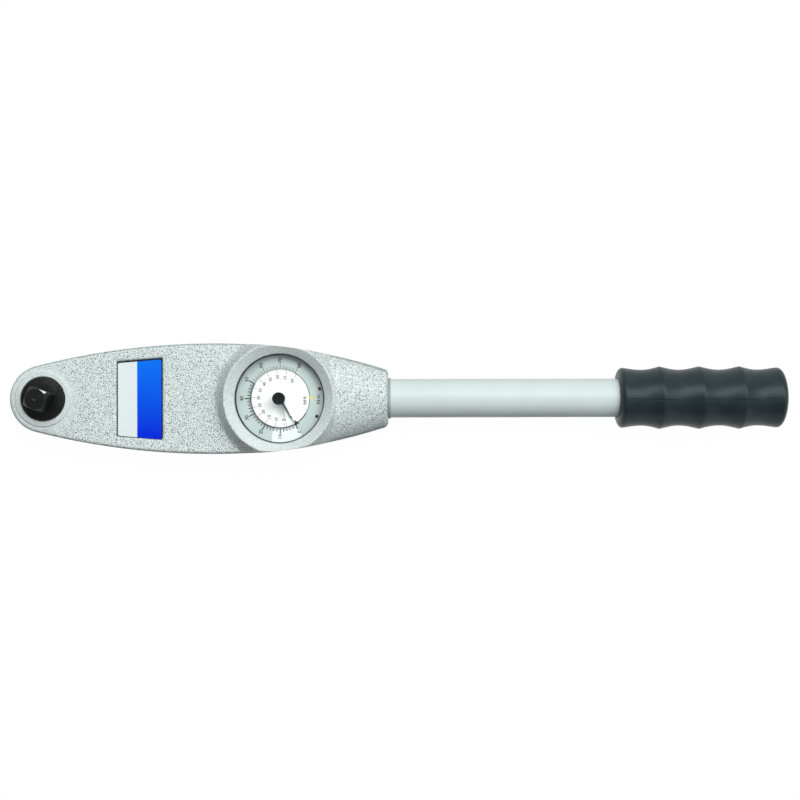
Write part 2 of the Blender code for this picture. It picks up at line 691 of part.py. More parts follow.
def tube_shape(name, inner, outer, start_x, end_x, material):
    """A ring or a solid round bar along X, on the handle's axis."""
    length = end_x - start_x
    if inner:
        profile = [(outer, length), (outer, 0), (inner, 0), (inner, length)]
    else:
        profile = [(0, length), (outer, length), (outer, 0), (0, 0)]
    obj = turned(name, profile, material, (start_x, 0, TUBE_AXIS_HEIGHT), ROUND_STEPS, ring=bool(inner))
    obj.rotation_euler.y = math.pi / 2
    return obj


def dial_opening_cutter():
    """The dial's pocket: sloping inner flank, straight wall, ledge and the hole under it."""
    beyond = 2 * WALL
    profile = [
        (0, RING_CREST_HEIGHT + beyond),
        (RING_CREST_RADIUS + beyond * RING_SLOPE_RUN / RING_SLOPE_RISE, RING_CREST_HEIGHT + beyond),
        (DIAL_OPENING_RADIUS, RING_SLOPE_FOOT),
        (DIAL_OPENING_RADIUS, DIAL_LEDGE_TOP),
        (DIAL_LEDGE_RADIUS, DIAL_LEDGE_TOP),
        (DIAL_LEDGE_RADIUS, CEILING - WALL),
        (0, CEILING - WALL),
    ]
    return turned("dial_opening", profile, STEEL, (DIAL_X, 0, 0), FINE_STEPS)


def housing_shell():
    shell = plate(
        "housing_shell",
        [housing_outline(end=DRIVE_TO_NECK_START)],
        HOUSING_BOTTOM,
        FACE_HEIGHT,
        HAMMERED_SILVER,
    )
    bevel_top_edge(shell, FACE_EDGE_RADIUS)
    join(shell, ring_form())
    join(shell, neck_form())
    boss = rod(
        "head_boss", BOSS_RADIUS, CEILING, FACE_HEIGHT + BOSS_RISE, HAMMERED_SILVER, (DRIVE_X, 0)
    )
    join(shell, boss)

    below = HOUSING_BOTTOM - WALL
    cavity_end = DRIVE_TO_NECK_END - TUBE_IN_NECK - SEAT_GAP
    head_end = BOSS_RADIUS + WALL
    head_cavity = housing_outline(WALL, end=head_end + WALL)
    cut(shell, plate("head_cavity", [head_cavity], below, HEAD_CEILING, STEEL))
    main_cavity = housing_outline(WALL, head_end, cavity_end)
    cut(shell, plate("main_cavity", [main_cavity], below, CEILING, STEEL))
    cut(shell, dial_opening_cutter())
    cut_hole(
        shell, "shoulder_bore", SHOULDER_RADIUS + SEAT_GAP, SHOULDER_BOTTOM - SEAT_GAP,
        SHOULDER_TOP + WALL, (DRIVE_X, 0), ROUND_STEPS,
    )
    cut_hole(
        shell, "bush_bore", BUSH_RADIUS + SEAT_GAP, HEAD_CEILING - WALL, SHOULDER_TOP,
        (DRIVE_X, 0), ROUND_STEPS,
    )
    recess = plate_outline(0)
    cut(shell, plate("plate_recess", [recess], FACE_HEIGHT - PLATE_RECESS, FACE_HEIGHT + WALL, STEEL))
    bore_start = DRIVE_X + cavity_end - WALL
    cut(
        shell,
        tube_shape("tube_bore", 0, TUBE_RADIUS + SEAT_GAP, bore_start, NECK_END_X + WALL, STEEL),
    )

    for index, (x, y) in enumerate(cover_screw_places(), 1):
        if x < DRIVE_X + DRIVE_TO_NECK_START:
            post_bottom = HOUSING_BOTTOM + HIDDEN_STEP
            post_top = (CEILING if x > DRIVE_X + head_end else HEAD_CEILING) + WALL / 2
            post = rod(
                f"screw_post_{index}", COVER_BOSS_RADIUS, post_bottom, post_top, STEEL, (x, y), SMALL_STEPS
            )
            join(shell, post)
        cut_hole(
            shell, f"cover_screw_hole_{index}", COVER_SCREW_RADIUS + SEAT_GAP, below,
            COVER_THICKNESS + COVER_SCREW_LENGTH, (x, y),
        )
    for index, place in enumerate(movement_screw_places(), 1):
        cut_hole(
            shell, f"movement_screw_hole_{index}", MOVEMENT_SCREW_RADIUS + SEAT_GAP,
            CEILING - WALL, CEILING + MOVEMENT_SCREW_BITE + SEAT_GAP, place,
        )
    for index, place in enumerate(dial_screw_places(), 1):
        cut_hole(
            shell, f"dial_screw_hole_{index}", DIAL_SCREW_RADIUS + FIT_GAP,
            DIAL_TOP - DIAL_SCREW_LENGTH - SEAT_GAP, DIAL_LEDGE_TOP + WALL / 2, place,
        )
    for index, place in enumerate(anchor_screw_places(), 1):
        cut_hole(
            shell, f"anchor_screw_hole_{index}", ANCHOR_SCREW_RADIUS + SEAT_GAP,
            CEILING - WALL, CEILING + ANCHOR_SCREW_BITE + SEAT_GAP, place,
        )
    cut_hole(
        shell, "tube_pin_hole", TUBE_PIN_RADIUS + FIT_GAP, below,
        TUBE_AXIS_HEIGHT + TUBE_RADIUS + SEAT_GAP, (DRIVE_X + DRIVE_TO_TUBE_PIN, 0),
    )
    solve_as_manifold(shell)


def back_cover():
    cover = plate("back_cover", [housing_outline()], 0, COVER_THICKNESS, HAMMERED_SILVER)
    # The cover is drawn upside down, so that its rounded edge ends at the bottom.
    bevel_top_edge(cover, COVER_EDGE_RADIUS)
    cover.rotation_euler.x = math.pi
    boss = rod(
        "cover_boss", REAR_BUSH_RADIUS + COVER_BOSS_WALL, COVER_THICKNESS / 2, REAR_BUSH_TOP,
        STEEL, (DRIVE_X, 0),
    )
    join(cover, boss)
    cut_hole(
        cover, "rear_bush_bore", REAR_BUSH_RADIUS + SEAT_GAP, -WALL, REAR_BUSH_TOP + WALL,
        (DRIVE_X, 0), ROUND_STEPS,
    )
    head_seat = 2 * SEAT_GAP + COVER_SCREW_HEAD_HEIGHT
    for index, place in enumerate(cover_screw_places(), 1):
        cut_hole(
            cover, f"cover_through_hole_{index}", COVER_SCREW_RADIUS + SEAT_GAP, -WALL,
            COVER_THICKNESS + WALL, place,
        )
        cut_hole(
            cover, f"cover_head_hole_{index}", COVER_SCREW_HEAD_RADIUS + SEAT_GAP, -WALL,
            head_seat, place,
        )
    solve_as_manifold(cover)


# Fasteners


def screw_from_below(name, head_radius, head_height, shank_radius, head_bottom, top, place, parent=None):
    """A screw with its head down and a six-sided socket in the head."""
    profile = [
        (0, top),
        (shank_radius, top),
        (shank_radius, head_bottom + head_height),
        (head_radius, head_bottom + head_height),
        (head_radius, head_bottom),
        (0, head_bottom),
    ]
    screw = turned(name, profile, STEEL, (*place, 0), SMALL_STEPS, parent)
    socket = rod(
        f"{name}_socket", head_radius * SOCKET_WIDTH_SHARE, head_bottom - WALL,
        head_bottom + head_height * SOCKET_DEPTH_SHARE, STEEL, place, 6,
    )
    cut(screw, socket)


def fasteners():
    for index, place in enumerate(cover_screw_places(), 1):
        screw_from_below(
            f"cover_screw_{index}", COVER_SCREW_HEAD_RADIUS, COVER_SCREW_HEAD_HEIGHT,
            COVER_SCREW_RADIUS, SEAT_GAP, COVER_THICKNESS + COVER_SCREW_LENGTH - SEAT_GAP, place,
        )
    for index, place in enumerate(movement_screw_places(), 1):
        screw_from_below(
            f"movement_screw_{index}", MOVEMENT_SCREW_HEAD_RADIUS, MOVEMENT_SCREW_HEAD_HEIGHT,
            MOVEMENT_SCREW_RADIUS, UPPER_PLATE_BOTTOM - FIT_GAP - MOVEMENT_SCREW_HEAD_HEIGHT,
            CEILING + MOVEMENT_SCREW_BITE, place,
        )
    for index, place in enumerate(anchor_screw_places(), 1):
        screw_from_below(
            f"anchor_screw_{index}", ANCHOR_SCREW_HEAD_RADIUS, ANCHOR_SCREW_HEAD_HEIGHT,
            ANCHOR_SCREW_RADIUS, HOUSING_BOTTOM + 2 * SEAT_GAP, CEILING + ANCHOR_SCREW_BITE, place,
        )
    for index, (x, y) in enumerate(dial_screw_places(), 1):
        head_bottom = DIAL_TOP + FIT_GAP
        profile = [
            (0, head_bottom + DIAL_SCREW_HEAD_HEIGHT),
            (DIAL_SCREW_HEAD_RADIUS, head_bottom + DIAL_SCREW_HEAD_HEIGHT),
            (DIAL_SCREW_HEAD_RADIUS, head_bottom),
            (DIAL_SCREW_RADIUS, head_bottom),
            (DIAL_SCREW_RADIUS, DIAL_TOP - DIAL_SCREW_LENGTH),
            (0, DIAL_TOP - DIAL_SCREW_LENGTH),
        ]
        turned(f"dial_screw_{index}", profile, BLACK_OXIDE, (x, y, 0), SMALL_STEPS)


# Drive: spindle, bushes, beam and arm


def eye_bore():
    """The bore of an eye on the spindle, with its keyway towards the nose."""
    radius = SPINDLE_RADIUS + SEAT_GAP
    half_key = KEY_WIDTH / 2 + FIT_GAP
    notch = SPINDLE_RADIUS + KEY_OUT + SEAT_GAP
    reach = math.asin(half_key / radius)
    bore = arc(radius, reach - math.pi, math.pi - reach)
    return bore + [(-notch, half_key), (-notch, -half_key)]


def drive_spindle(axis):
    groove_top = RETAINER_BOTTOM + RETAINER_THICKNESS + FIT_GAP
    profile = [
        (0, SHOULDER_TOP),
        (SHOULDER_RADIUS - SHOULDER_CHAMFER, SHOULDER_TOP),
        (SHOULDER_RADIUS, SHOULDER_TOP - SHOULDER_CHAMFER),
        (SHOULDER_RADIUS, SHOULDER_BOTTOM),
        (SPINDLE_RADIUS, SHOULDER_BOTTOM),
        (SPINDLE_RADIUS, groove_top),
        (SPINDLE_RADIUS - GROOVE_DEPTH, groove_top),
        (SPINDLE_RADIUS - GROOVE_DEPTH, RETAINER_BOTTOM - FIT_GAP),
        (SPINDLE_RADIUS, RETAINER_BOTTOM - FIT_GAP),
        (SPINDLE_RADIUS - FIT_GAP, SPINDLE_END),
        (0, SPINDLE_END),
    ]
    spindle = turned("drive_spindle", profile, BLACK_OXIDE, parent=axis)

    square_top = SHOULDER_TOP + SQUARE_LENGTH
    half = SQUARE_WIDTH / 2
    square = box("square", (-half, -half, SHOULDER_BOTTOM), (half, half, square_top), STEEL)
    square.parent = axis
    square.rotation_euler.z = SQUARE_TURN
    chamfer_height = SQUARE_CORNER_RADIUS - SQUARE_END_RADIUS
    limit = [
        (0, square_top + WALL),
        (SQUARE_END_RADIUS - WALL / 2, square_top + WALL / 2),
        (SQUARE_CORNER_RADIUS, square_top - chamfer_height),
        (SQUARE_CORNER_RADIUS, SHOULDER_BOTTOM - WALL),
        (0, SHOULDER_BOTTOM - WALL),
    ]
    combine(square, turned("square_limit", limit, STEEL, parent=axis), "INTERSECT")
    join(spindle, square)
    dimple = [
        (0, square_top + WALL),
        (DIMPLE_RADIUS, square_top + WALL),
        (DIMPLE_RADIUS, square_top),
        (0, square_top - DIMPLE_DEPTH),
    ]
    cut(spindle, turned("dimple", dimple, STEEL, steps=SMALL_STEPS, parent=axis))
    keyway_low = (
        DRIVE_X - SPINDLE_RADIUS - WALL, -KEY_WIDTH / 2 - FIT_GAP, BEAM_BOTTOM - FIT_GAP
    )
    keyway_high = (
        DRIVE_X - SPINDLE_RADIUS + KEY_IN_SPINDLE + SEAT_GAP, KEY_WIDTH / 2 + FIT_GAP, ARM_TOP + FIT_GAP
    )
    cut(spindle, box("spindle_keyway", keyway_low, keyway_high, STEEL))
    return spindle


def drive_parts(axis):
    drive_spindle(axis)
    tube_ring(
        "front_bush", SPINDLE_RADIUS + FIT_GAP, BUSH_RADIUS, FRONT_BUSH_BOTTOM, FRONT_BUSH_TOP,
        BRONZE, (DRIVE_X, 0),
    )
    tube_ring(
        "rear_bush", SPINDLE_RADIUS + FIT_GAP, REAR_BUSH_RADIUS, REAR_BUSH_BOTTOM, REAR_BUSH_TOP,
        BRONZE, (DRIVE_X, 0),
    )
    tube_ring(
        "thrust_washer", SPINDLE_RADIUS + FIT_GAP, WASHER_RADIUS, WASHER_BOTTOM,
        WASHER_BOTTOM + WASHER_THICKNESS, STEEL, (DRIVE_X, 0),
    )
    half_open = RETAINER_OPENING / 2
    inner = SPINDLE_RADIUS - GROOVE_DEPTH + FIT_GAP
    retainer = arc(RETAINER_RADIUS, half_open, 2 * math.pi - half_open)
    retainer += arc(inner, 2 * math.pi - half_open, half_open)
    plate(
        "retaining_ring", [retainer], RETAINER_BOTTOM, RETAINER_BOTTOM + RETAINER_THICKNESS,
        SPRING_STEEL, parent=axis,
    )
    key = box(
        "drive_key",
        (-SPINDLE_RADIUS - KEY_OUT, -KEY_WIDTH / 2, BEAM_BOTTOM + FIT_GAP),
        (-SPINDLE_RADIUS + KEY_IN_SPINDLE, KEY_WIDTH / 2, ARM_TOP - FIT_GAP),
        STEEL,
    )
    key.parent = axis

    start = ARM_ANGLE + ARM_FLARE
    arm = arc(SPINDLE_RADIUS + ARM_EYE_WALL, start, start + 2 * (math.pi - ARM_FLARE))
    pin_centre = (PIN_REACH * math.cos(ARM_ANGLE), PIN_REACH * math.sin(ARM_ANGLE))
    quarter = math.pi / 2
    arm += arc(ARM_TIP_RADIUS, ARM_ANGLE - quarter, ARM_ANGLE + quarter, pin_centre, SMALL_STEPS // 2)
    plate(
        "drive_arm",
        [arm, eye_bore(), circle(PICKOFF_RADIUS + FIT_GAP, pin_centre)],
        ARM_BOTTOM,
        ARM_TOP,
        STEEL,
        parent=axis,
    )
    rod(
        "pickoff_pin", PICKOFF_RADIUS, ARM_BOTTOM + FIT_GAP, SECTOR_TOP + SEAT_GAP, STEEL,
        pin_centre, SMALL_STEPS, axis,
    )


def beam_and_anchor():
    eye_radius = SPINDLE_RADIUS + BEAM_EYE_WALL
    half = BEAM_THICKNESS / 2
    reach = math.asin(half / eye_radius)
    beam_end = DRIVE_TO_ANCHOR + ANCHOR_LENGTH / 2 - SEAT_GAP
    outline = arc(eye_radius, reach, 2 * math.pi - reach)
    outline += [(beam_end, -half), (beam_end, half)]
    holes = [
        circle(ANCHOR_PIN_RADIUS + FIT_GAP, (x - DRIVE_X, y)) for x, y in anchor_pin_places()
    ]
    plate(
        "measuring_beam", [outline, eye_bore(), *holes], BEAM_BOTTOM, BEAM_TOP, SPRING_STEEL,
        (DRIVE_X, 0),
    )
    bottom = HOUSING_BOTTOM + SEAT_GAP
    top = CEILING - SEAT_GAP
    half_length = ANCHOR_LENGTH / 2
    half_width_y = ANCHOR_WIDTH / 2
    block = box(
        "anchor_block",
        (ANCHOR_X - half_length, -half_width_y, bottom),
        (ANCHOR_X + half_length, half_width_y, top),
        STEEL,
    )
    slot = box(
        "anchor_slot",
        (ANCHOR_X - ANCHOR_LENGTH, -half - FIT_GAP, 0),
        (ANCHOR_X + ANCHOR_LENGTH, half + FIT_GAP, BEAM_TOP + SEAT_GAP),
        STEEL,
    )
    cut(block, slot)
    for index, place in enumerate(anchor_screw_places(), 1):
        cut_hole(block, f"anchor_through_{index}", ANCHOR_SCREW_RADIUS + SEAT_GAP, 0, top + WALL, place)
        head_top = HOUSING_BOTTOM + 2 * SEAT_GAP + ANCHOR_SCREW_HEAD_HEIGHT
        cut_hole(
            block, f"anchor_counterbore_{index}", ANCHOR_SCREW_HEAD_RADIUS + SEAT_GAP, 0,
            head_top + FIT_GAP, place,
        )
    for index, place in enumerate(anchor_pin_places(), 1):
        cut_hole(block, f"anchor_pin_hole_{index}", ANCHOR_PIN_RADIUS + FIT_GAP, 0, top + WALL, place)
        rod(
            f"anchor_pin_{index}", ANCHOR_PIN_RADIUS, BEAM_BOTTOM + FIT_GAP, top - SEAT_GAP, STEEL,
            place, SMALL_STEPS,
        )
    solve_as_manifold(block)


# Movement: arm pin, sector, pinion and their frame


def involute(angle):
    return math.tan(angle) - angle


def tooth(teeth, addendum, centre_angle):
    """One tooth's points, from the root on its clockwise side to the root on the other."""
    pitch_radius = TOOTH_MODULE * teeth / 2
    base_radius = pitch_radius * math.cos(PRESSURE_ANGLE)
    root_radius = pitch_radius - DEDENDUM
    tip_radius = pitch_radius + addendum
    half_pitch_tooth = math.pi / (2 * teeth) - TOOTH_GAP / pitch_radius
    flank_steps = 3
    low = max(base_radius, root_radius)
    flank = []
    for i in range(flank_steps + 1):
        radius = low + (tip_radius - low) * i / flank_steps
        slope = math.acos(min(1.0, base_radius / radius))
        half_angle = half_pitch_tooth + involute(PRESSURE_ANGLE) - involute(slope)
        flank.append((radius, half_angle))
    if root_radius < base_radius:
        flank.insert(0, (root_radius, flank[0][1]))
    rising = [(radius, centre_angle - half) for radius, half in flank]
    falling = [(radius, centre_angle + half) for radius, half in reversed(flank)]
    return [(r * math.cos(a), r * math.sin(a)) for r, a in rising + falling]


def sector_outline():
    """Fork towards the drive, hub, and a toothed arc towards the pinion."""
    pitch_angle = 2 * math.pi / SECTOR_TEETH_PER_TURN
    teeth = []
    for i in range(SECTOR_TEETH):
        teeth += tooth(SECTOR_TEETH_PER_TURN, SECTOR_ADDENDUM, (i + 0.5 - SECTOR_TEETH / 2) * pitch_angle)
    fork = SECTOR_FORK_HALF_WIDTH
    slot = PICKOFF_RADIUS + FIT_GAP
    fork_end = -SECTOR_SHORT_ARM - SECTOR_FORK_END
    slot_end = SECTOR_FORK_END - SECTOR_SHORT_ARM
    fork_angle = math.pi - math.asin(fork / SECTOR_HUB_RADIUS)
    upper = arc(SECTOR_HUB_RADIUS, SECTOR_SIDE_ANGLE, fork_angle, steps=CORNER_STEPS)
    lower = [(x, -y) for x, y in reversed(upper)]
    prongs = [(fork_end, fork), (fork_end, slot), (slot_end, slot)]
    return teeth + upper + prongs + [(x, -y) for x, y in reversed(prongs)] + lower


def hairspring():
    """A flat spiral from the arbor out to its stud."""
    points_per_turn = 20
    count = points_per_turn * HAIRSPRING_TURNS + 1
    curve = bpy.data.curves.new("hairspring", "CURVE")
    curve.dimensions = "3D"
    curve.bevel_depth = HAIRSPRING_WIRE_RADIUS
    curve.bevel_resolution = 0
    curve.use_fill_caps = True
    spline = curve.splines.new("POLY")
    spline.points.add(count - 1)
    for i, point in enumerate(spline.points):
        share = i / (count - 1)
        radius = HAIRSPRING_INNER_RADIUS + (HAIRSPRING_OUTER_RADIUS - HAIRSPRING_INNER_RADIUS) * share
        angle = 2 * math.pi * HAIRSPRING_TURNS * share
        point.co = (radius * math.cos(angle), radius * math.sin(angle), 0, 1)
    obj = bpy.data.objects.new("hairspring", curve)
    WRENCH.objects.link(obj)
    curve.materials.append(SPRING_STEEL)
    obj.location = (DIAL_X, 0, HAIRSPRING_HEIGHT)


def movement(sector_axis, pointer_axis):
    teeth = []
    for i in range(PINION_TEETH):
        teeth += tooth(PINION_TEETH, PINION_ADDENDUM, math.pi + 2 * math.pi * i / PINION_TEETH)
    plate(
        "pinion", [teeth, circle(POINTER_ARBOR_RADIUS + FIT_GAP)], PINION_BOTTOM, PINION_TOP, BRASS,
        parent=pointer_axis,
    )
    lever = plate(
        "sector_lever", [sector_outline(), circle(SECTOR_ARBOR_RADIUS + FIT_GAP)], SECTOR_BOTTOM,
        SECTOR_TOP, BRASS, parent=sector_axis,
    )
    lever.rotation_euler.z = -SECTOR_SWING / 2
    collar = SECTOR_ARBOR_RADIUS + ARBOR_COLLAR
    collar_top = SECTOR_BOTTOM - FIT_GAP
    collar_bottom = LOWER_PLATE_TOP + FIT_GAP
    turned(
        "sector_arbor",
        [
            (0, CEILING - 2 * SEAT_GAP),
            (SECTOR_ARBOR_RADIUS, CEILING - 2 * SEAT_GAP),
            (SECTOR_ARBOR_RADIUS, collar_top),
            (collar, collar_top),
            (collar, collar_bottom),
            (SECTOR_ARBOR_RADIUS, collar_bottom),
            (SECTOR_ARBOR_RADIUS, LOWER_PLATE_BOTTOM + FIT_GAP),
            (0, LOWER_PLATE_BOTTOM + FIT_GAP),
        ],
        STEEL,
        steps=SMALL_STEPS,
        parent=sector_axis,
    )
    arbor_top = UPPER_PLATE_BOTTOM - SEAT_GAP
    turned(
        "pointer_arbor",
        [
            (0, POINTER_HUB_TOP - FIT_GAP),
            (POINTER_PIVOT_RADIUS, POINTER_HUB_TOP - FIT_GAP),
            (POINTER_PIVOT_RADIUS, arbor_top),
            (POINTER_ARBOR_RADIUS, arbor_top),
            (POINTER_ARBOR_RADIUS, LOWER_PLATE_TOP + FIT_GAP),
            (POINTER_PIVOT_RADIUS, LOWER_PLATE_TOP + FIT_GAP),
            (POINTER_PIVOT_RADIUS, LOWER_PLATE_BOTTOM + FIT_GAP),
            (0, LOWER_PLATE_BOTTOM + FIT_GAP),
        ],
        STEEL,
        steps=SMALL_STEPS,
        parent=pointer_axis,
    )
    hairspring()
    stud_x = DIAL_X + HAIRSPRING_OUTER_RADIUS + HAIRSPRING_WIRE_RADIUS + SPRING_STUD_RADIUS + FIT_GAP
    rod(
        "spring_stud", SPRING_STUD_RADIUS, HAIRSPRING_HEIGHT - SEAT_GAP,
        UPPER_PLATE_BOTTOM - FIT_GAP, BRASS, (stud_x, 0), SMALL_STEPS,
    )
    movement_frame()


def movement_frame():
    front = PLATE_FRONT_X
    rear = DIAL_X + PLATE_REAR
    front_half = PLATE_FRONT_HALF_WIDTH
    rear_half = PLATE_REAR_HALF_WIDTH
    corner = PILLAR_RADIUS
    lower = [
        (rear - corner, rear_half), (front + corner, front_half), (front, front_half - corner),
        (front, corner - front_half), (front + corner, -front_half), (rear - corner, -rear_half),
        (rear, corner - rear_half), (rear, rear_half - corner),
    ]
    sector_hole = circle(SECTOR_ARBOR_RADIUS + FIT_GAP, (SECTOR_PIVOT_X, 0))
    pointer_hole = circle(POINTER_PIVOT_RADIUS + FIT_GAP, (DIAL_X, 0))
    plate(
        "lower_plate", [lower, sector_hole, pointer_hole], LOWER_PLATE_BOTTOM, LOWER_PLATE_TOP, BRASS
    )
    tongue = math.pi - math.asin(front_half / UPPER_PLATE_RADIUS)
    upper = arc(UPPER_PLATE_RADIUS, -tongue, tongue, (DIAL_X, 0), ROUND_STEPS)
    upper += [
        (front + corner, front_half), (front, front_half - corner),
        (front, corner - front_half), (front + corner, -front_half),
    ]
    screw_holes = [
        circle(MOVEMENT_SCREW_RADIUS + FIT_GAP, place) for place in movement_screw_places()
    ]
    plate(
        "upper_plate", [upper, sector_hole, pointer_hole, *screw_holes], UPPER_PLATE_BOTTOM,
        UPPER_PLATE_BOTTOM + MOVEMENT_PLATE, BRASS,
    )
    front_pillar = (front + PILLAR_INSET, front_half - PILLAR_INSET)
    rear_pillar = (rear - PILLAR_INSET, rear_half - PILLAR_INSET)
    places = [(x, sign * y) for x, y in (front_pillar, rear_pillar) for sign in (1, -1)]
    for index, place in enumerate(places, 1):
        rod(
            f"pillar_{index}", PILLAR_RADIUS, LOWER_PLATE_TOP + FIT_GAP,
            UPPER_PLATE_BOTTOM - FIT_GAP, BRASS, place, SMALL_STEPS,
        )


# Dial, pointers and lens


def needle(length, tail, width):
    """A pointer along +X that narrows to a blunt tip, with a round boss at its axis."""
    half = width / 2
    boss = POINTER_PIVOT_RADIUS + NEEDLE_BOSS_WALL
    reach = math.asin(half / boss)
    tip = half * NEEDLE_TIP_SHARE
    points = [(length, -tip), (length, tip)]
    points += arc(boss, reach, math.pi - reach, steps=8)
    points += [(-tail, half), (-tail, -half)]
    points += arc(boss, math.pi + reach, 2 * math.pi - reach, steps=8)
    return points


def dial_parts(pointer_axis, memory_axis):
    dial_bottom = DIAL_LEDGE_TOP + SEAT_GAP
    screw_holes = [
        circle(DIAL_SCREW_RADIUS + FIT_GAP, (x - DIAL_X, y)) for x, y in dial_screw_places()
    ]
    centre_hole = circle(POINTER_ARBOR_RADIUS)
    plate(
        "dial_plate", [circle(LENS_RADIUS, steps=ROUND_STEPS), centre_hole, *screw_holes],
        dial_bottom, DIAL_TOP, WHITE_DIAL, (DIAL_X, 0),
    )
    spacer_bottom = DIAL_TOP + SEAT_GAP
    tube_ring(
        "dial_spacer", LENS_RADIUS - SPACER_WALL, LENS_RADIUS, spacer_bottom,
        spacer_bottom + SPACER_HEIGHT, BLACK_PLASTIC, (DIAL_X, 0),
    )
    tube_ring(
        "lens", KNOB_BUSH_RADIUS + FIT_GAP, LENS_RADIUS, LENS_BOTTOM, LENS_TOP, CLEAR_LENS, (DIAL_X, 0)
    )
    tube_ring(
        "bezel", LENS_RADIUS - BEZEL_WALL, LENS_RADIUS, LENS_TOP + SEAT_GAP,
        LENS_TOP + SEAT_GAP + BEZEL_HEIGHT, BLACK_PLASTIC, (DIAL_X, 0),
    )
    bush_inner = KNOB_SHAFT_RADIUS + FIT_GAP
    flange_bottom = LENS_TOP + FIT_GAP
    flange_top = KNOB_BOTTOM - SEAT_GAP
    flange_radius = KNOB_RADIUS - SEAT_GAP
    turned(
        "knob_bush",
        [
            (flange_radius, flange_top),
            (flange_radius, flange_bottom),
            (KNOB_BUSH_RADIUS, flange_bottom),
            (KNOB_BUSH_RADIUS, LENS_BOTTOM),
            (bush_inner, LENS_BOTTOM),
            (bush_inner, flange_top),
        ],
        BLACK_PLASTIC,
        (DIAL_X, 0, 0),
        ROUND_STEPS // 2,
        ring=True,
    )
    pointer = plate(
        "pointer",
        [needle(POINTER_LENGTH, POINTER_TAIL, POINTER_WIDTH), circle(POINTER_PIVOT_RADIUS + FIT_GAP)],
        POINTER_BOTTOM,
        POINTER_TOP,
        BLACK_PLASTIC,
        parent=pointer_axis,
    )
    pointer.rotation_euler.z = POINTER_ANGLE
    tube_ring(
        "pointer_hub", POINTER_PIVOT_RADIUS + FIT_GAP, POINTER_HUB_RADIUS, POINTER_TOP + FIT_GAP,
        POINTER_HUB_TOP, BLACK_PLASTIC, steps=SMALL_STEPS, parent=pointer_axis,
    )
    memory = plate(
        "memory_pointer",
        [needle(MEMORY_LENGTH, POINTER_TAIL, MEMORY_WIDTH), circle(POINTER_PIVOT_RADIUS + FIT_GAP)],
        MEMORY_BOTTOM,
        MEMORY_BOTTOM + MEMORY_THICKNESS,
        SPRING_STEEL,
        parent=memory_axis,
    )
    memory.rotation_euler.z = MEMORY_ANGLE
    knob_top = KNOB_BOTTOM + KNOB_HEIGHT
    step = MEMORY_BOTTOM + MEMORY_THICKNESS + FIT_GAP
    turned(
        "reset_knob",
        [
            (0, knob_top),
            (KNOB_RADIUS - KNOB_CHAMFER, knob_top),
            (KNOB_RADIUS, knob_top - KNOB_CHAMFER),
            (KNOB_RADIUS, KNOB_BOTTOM),
            (KNOB_SHAFT_RADIUS, KNOB_BOTTOM),
            (KNOB_SHAFT_RADIUS, step),
            (POINTER_PIVOT_RADIUS, step),
            (POINTER_PIVOT_RADIUS, MEMORY_BOTTOM - FIT_GAP),
            (0, MEMORY_BOTTOM - FIT_GAP),
        ],
        BLACK_PLASTIC,
        steps=ROUND_STEPS // 2,
        parent=memory_axis,
    )
    plate(
        "name_plate", [plate_outline(SEAT_GAP)], FACE_HEIGHT - PLATE_RECESS + SEAT_GAP,
        FACE_HEIGHT - PLATE_RECESS + SEAT_GAP + NAME_PLATE_THICKNESS, BLUE_PLATE,
    )


# Handle


def grip_profile():
    """The grip's outer line as (distance from its front end, radius), front to back."""
    groove_steps = 6
    dome_steps = 3
    length = GRIP_LENGTH - GRIP_FRONT_DOME - GRIP_REAR_DOME
    pitch = length / GRIP_GROOVES
    points = []
    front_radius = TUBE_RADIUS + SEAT_GAP + GRIP_FRONT_WALL
    for i in range(dome_steps):
        angle = math.pi / 2 * i / dome_steps
        radius = front_radius + (GRIP_RIM_RADIUS - front_radius) * math.sin(angle)
        points.append((GRIP_FRONT_DOME * (1 - math.cos(angle)), radius))
    for i in range(GRIP_GROOVES * groove_steps + 1):
        share = i / groove_steps
        groove = min(int(share), GRIP_GROOVES - 1)
        within = share - groove
        radii = [
            GRIP_RIM_RADIUS if k in (0, GRIP_GROOVES) else GRIP_RIDGE_RADIUS
            for k in (groove, groove + 1)
        ]
        ridge = radii[0] + (radii[1] - radii[0]) * within
        dip = math.sin(math.pi * within) ** GRIP_GROOVE_SHARPNESS
        radius = ridge - (ridge - GRIP_GROOVE_RADIUS) * dip
        points.append((GRIP_FRONT_DOME + share * pitch, radius))
    dome_radius = (GRIP_RIM_RADIUS**2 + GRIP_REAR_DOME**2) / (2 * GRIP_REAR_DOME)
    full_angle = math.asin(GRIP_RIM_RADIUS / dome_radius)
    for i in range(1, 2 * dome_steps):
        angle = full_angle * (1 - i / (2 * dome_steps))
        along = GRIP_LENGTH - dome_radius * (1 - math.cos(angle))
        points.append((along, dome_radius * math.sin(angle)))
    points.append((GRIP_LENGTH, 0))
    return points


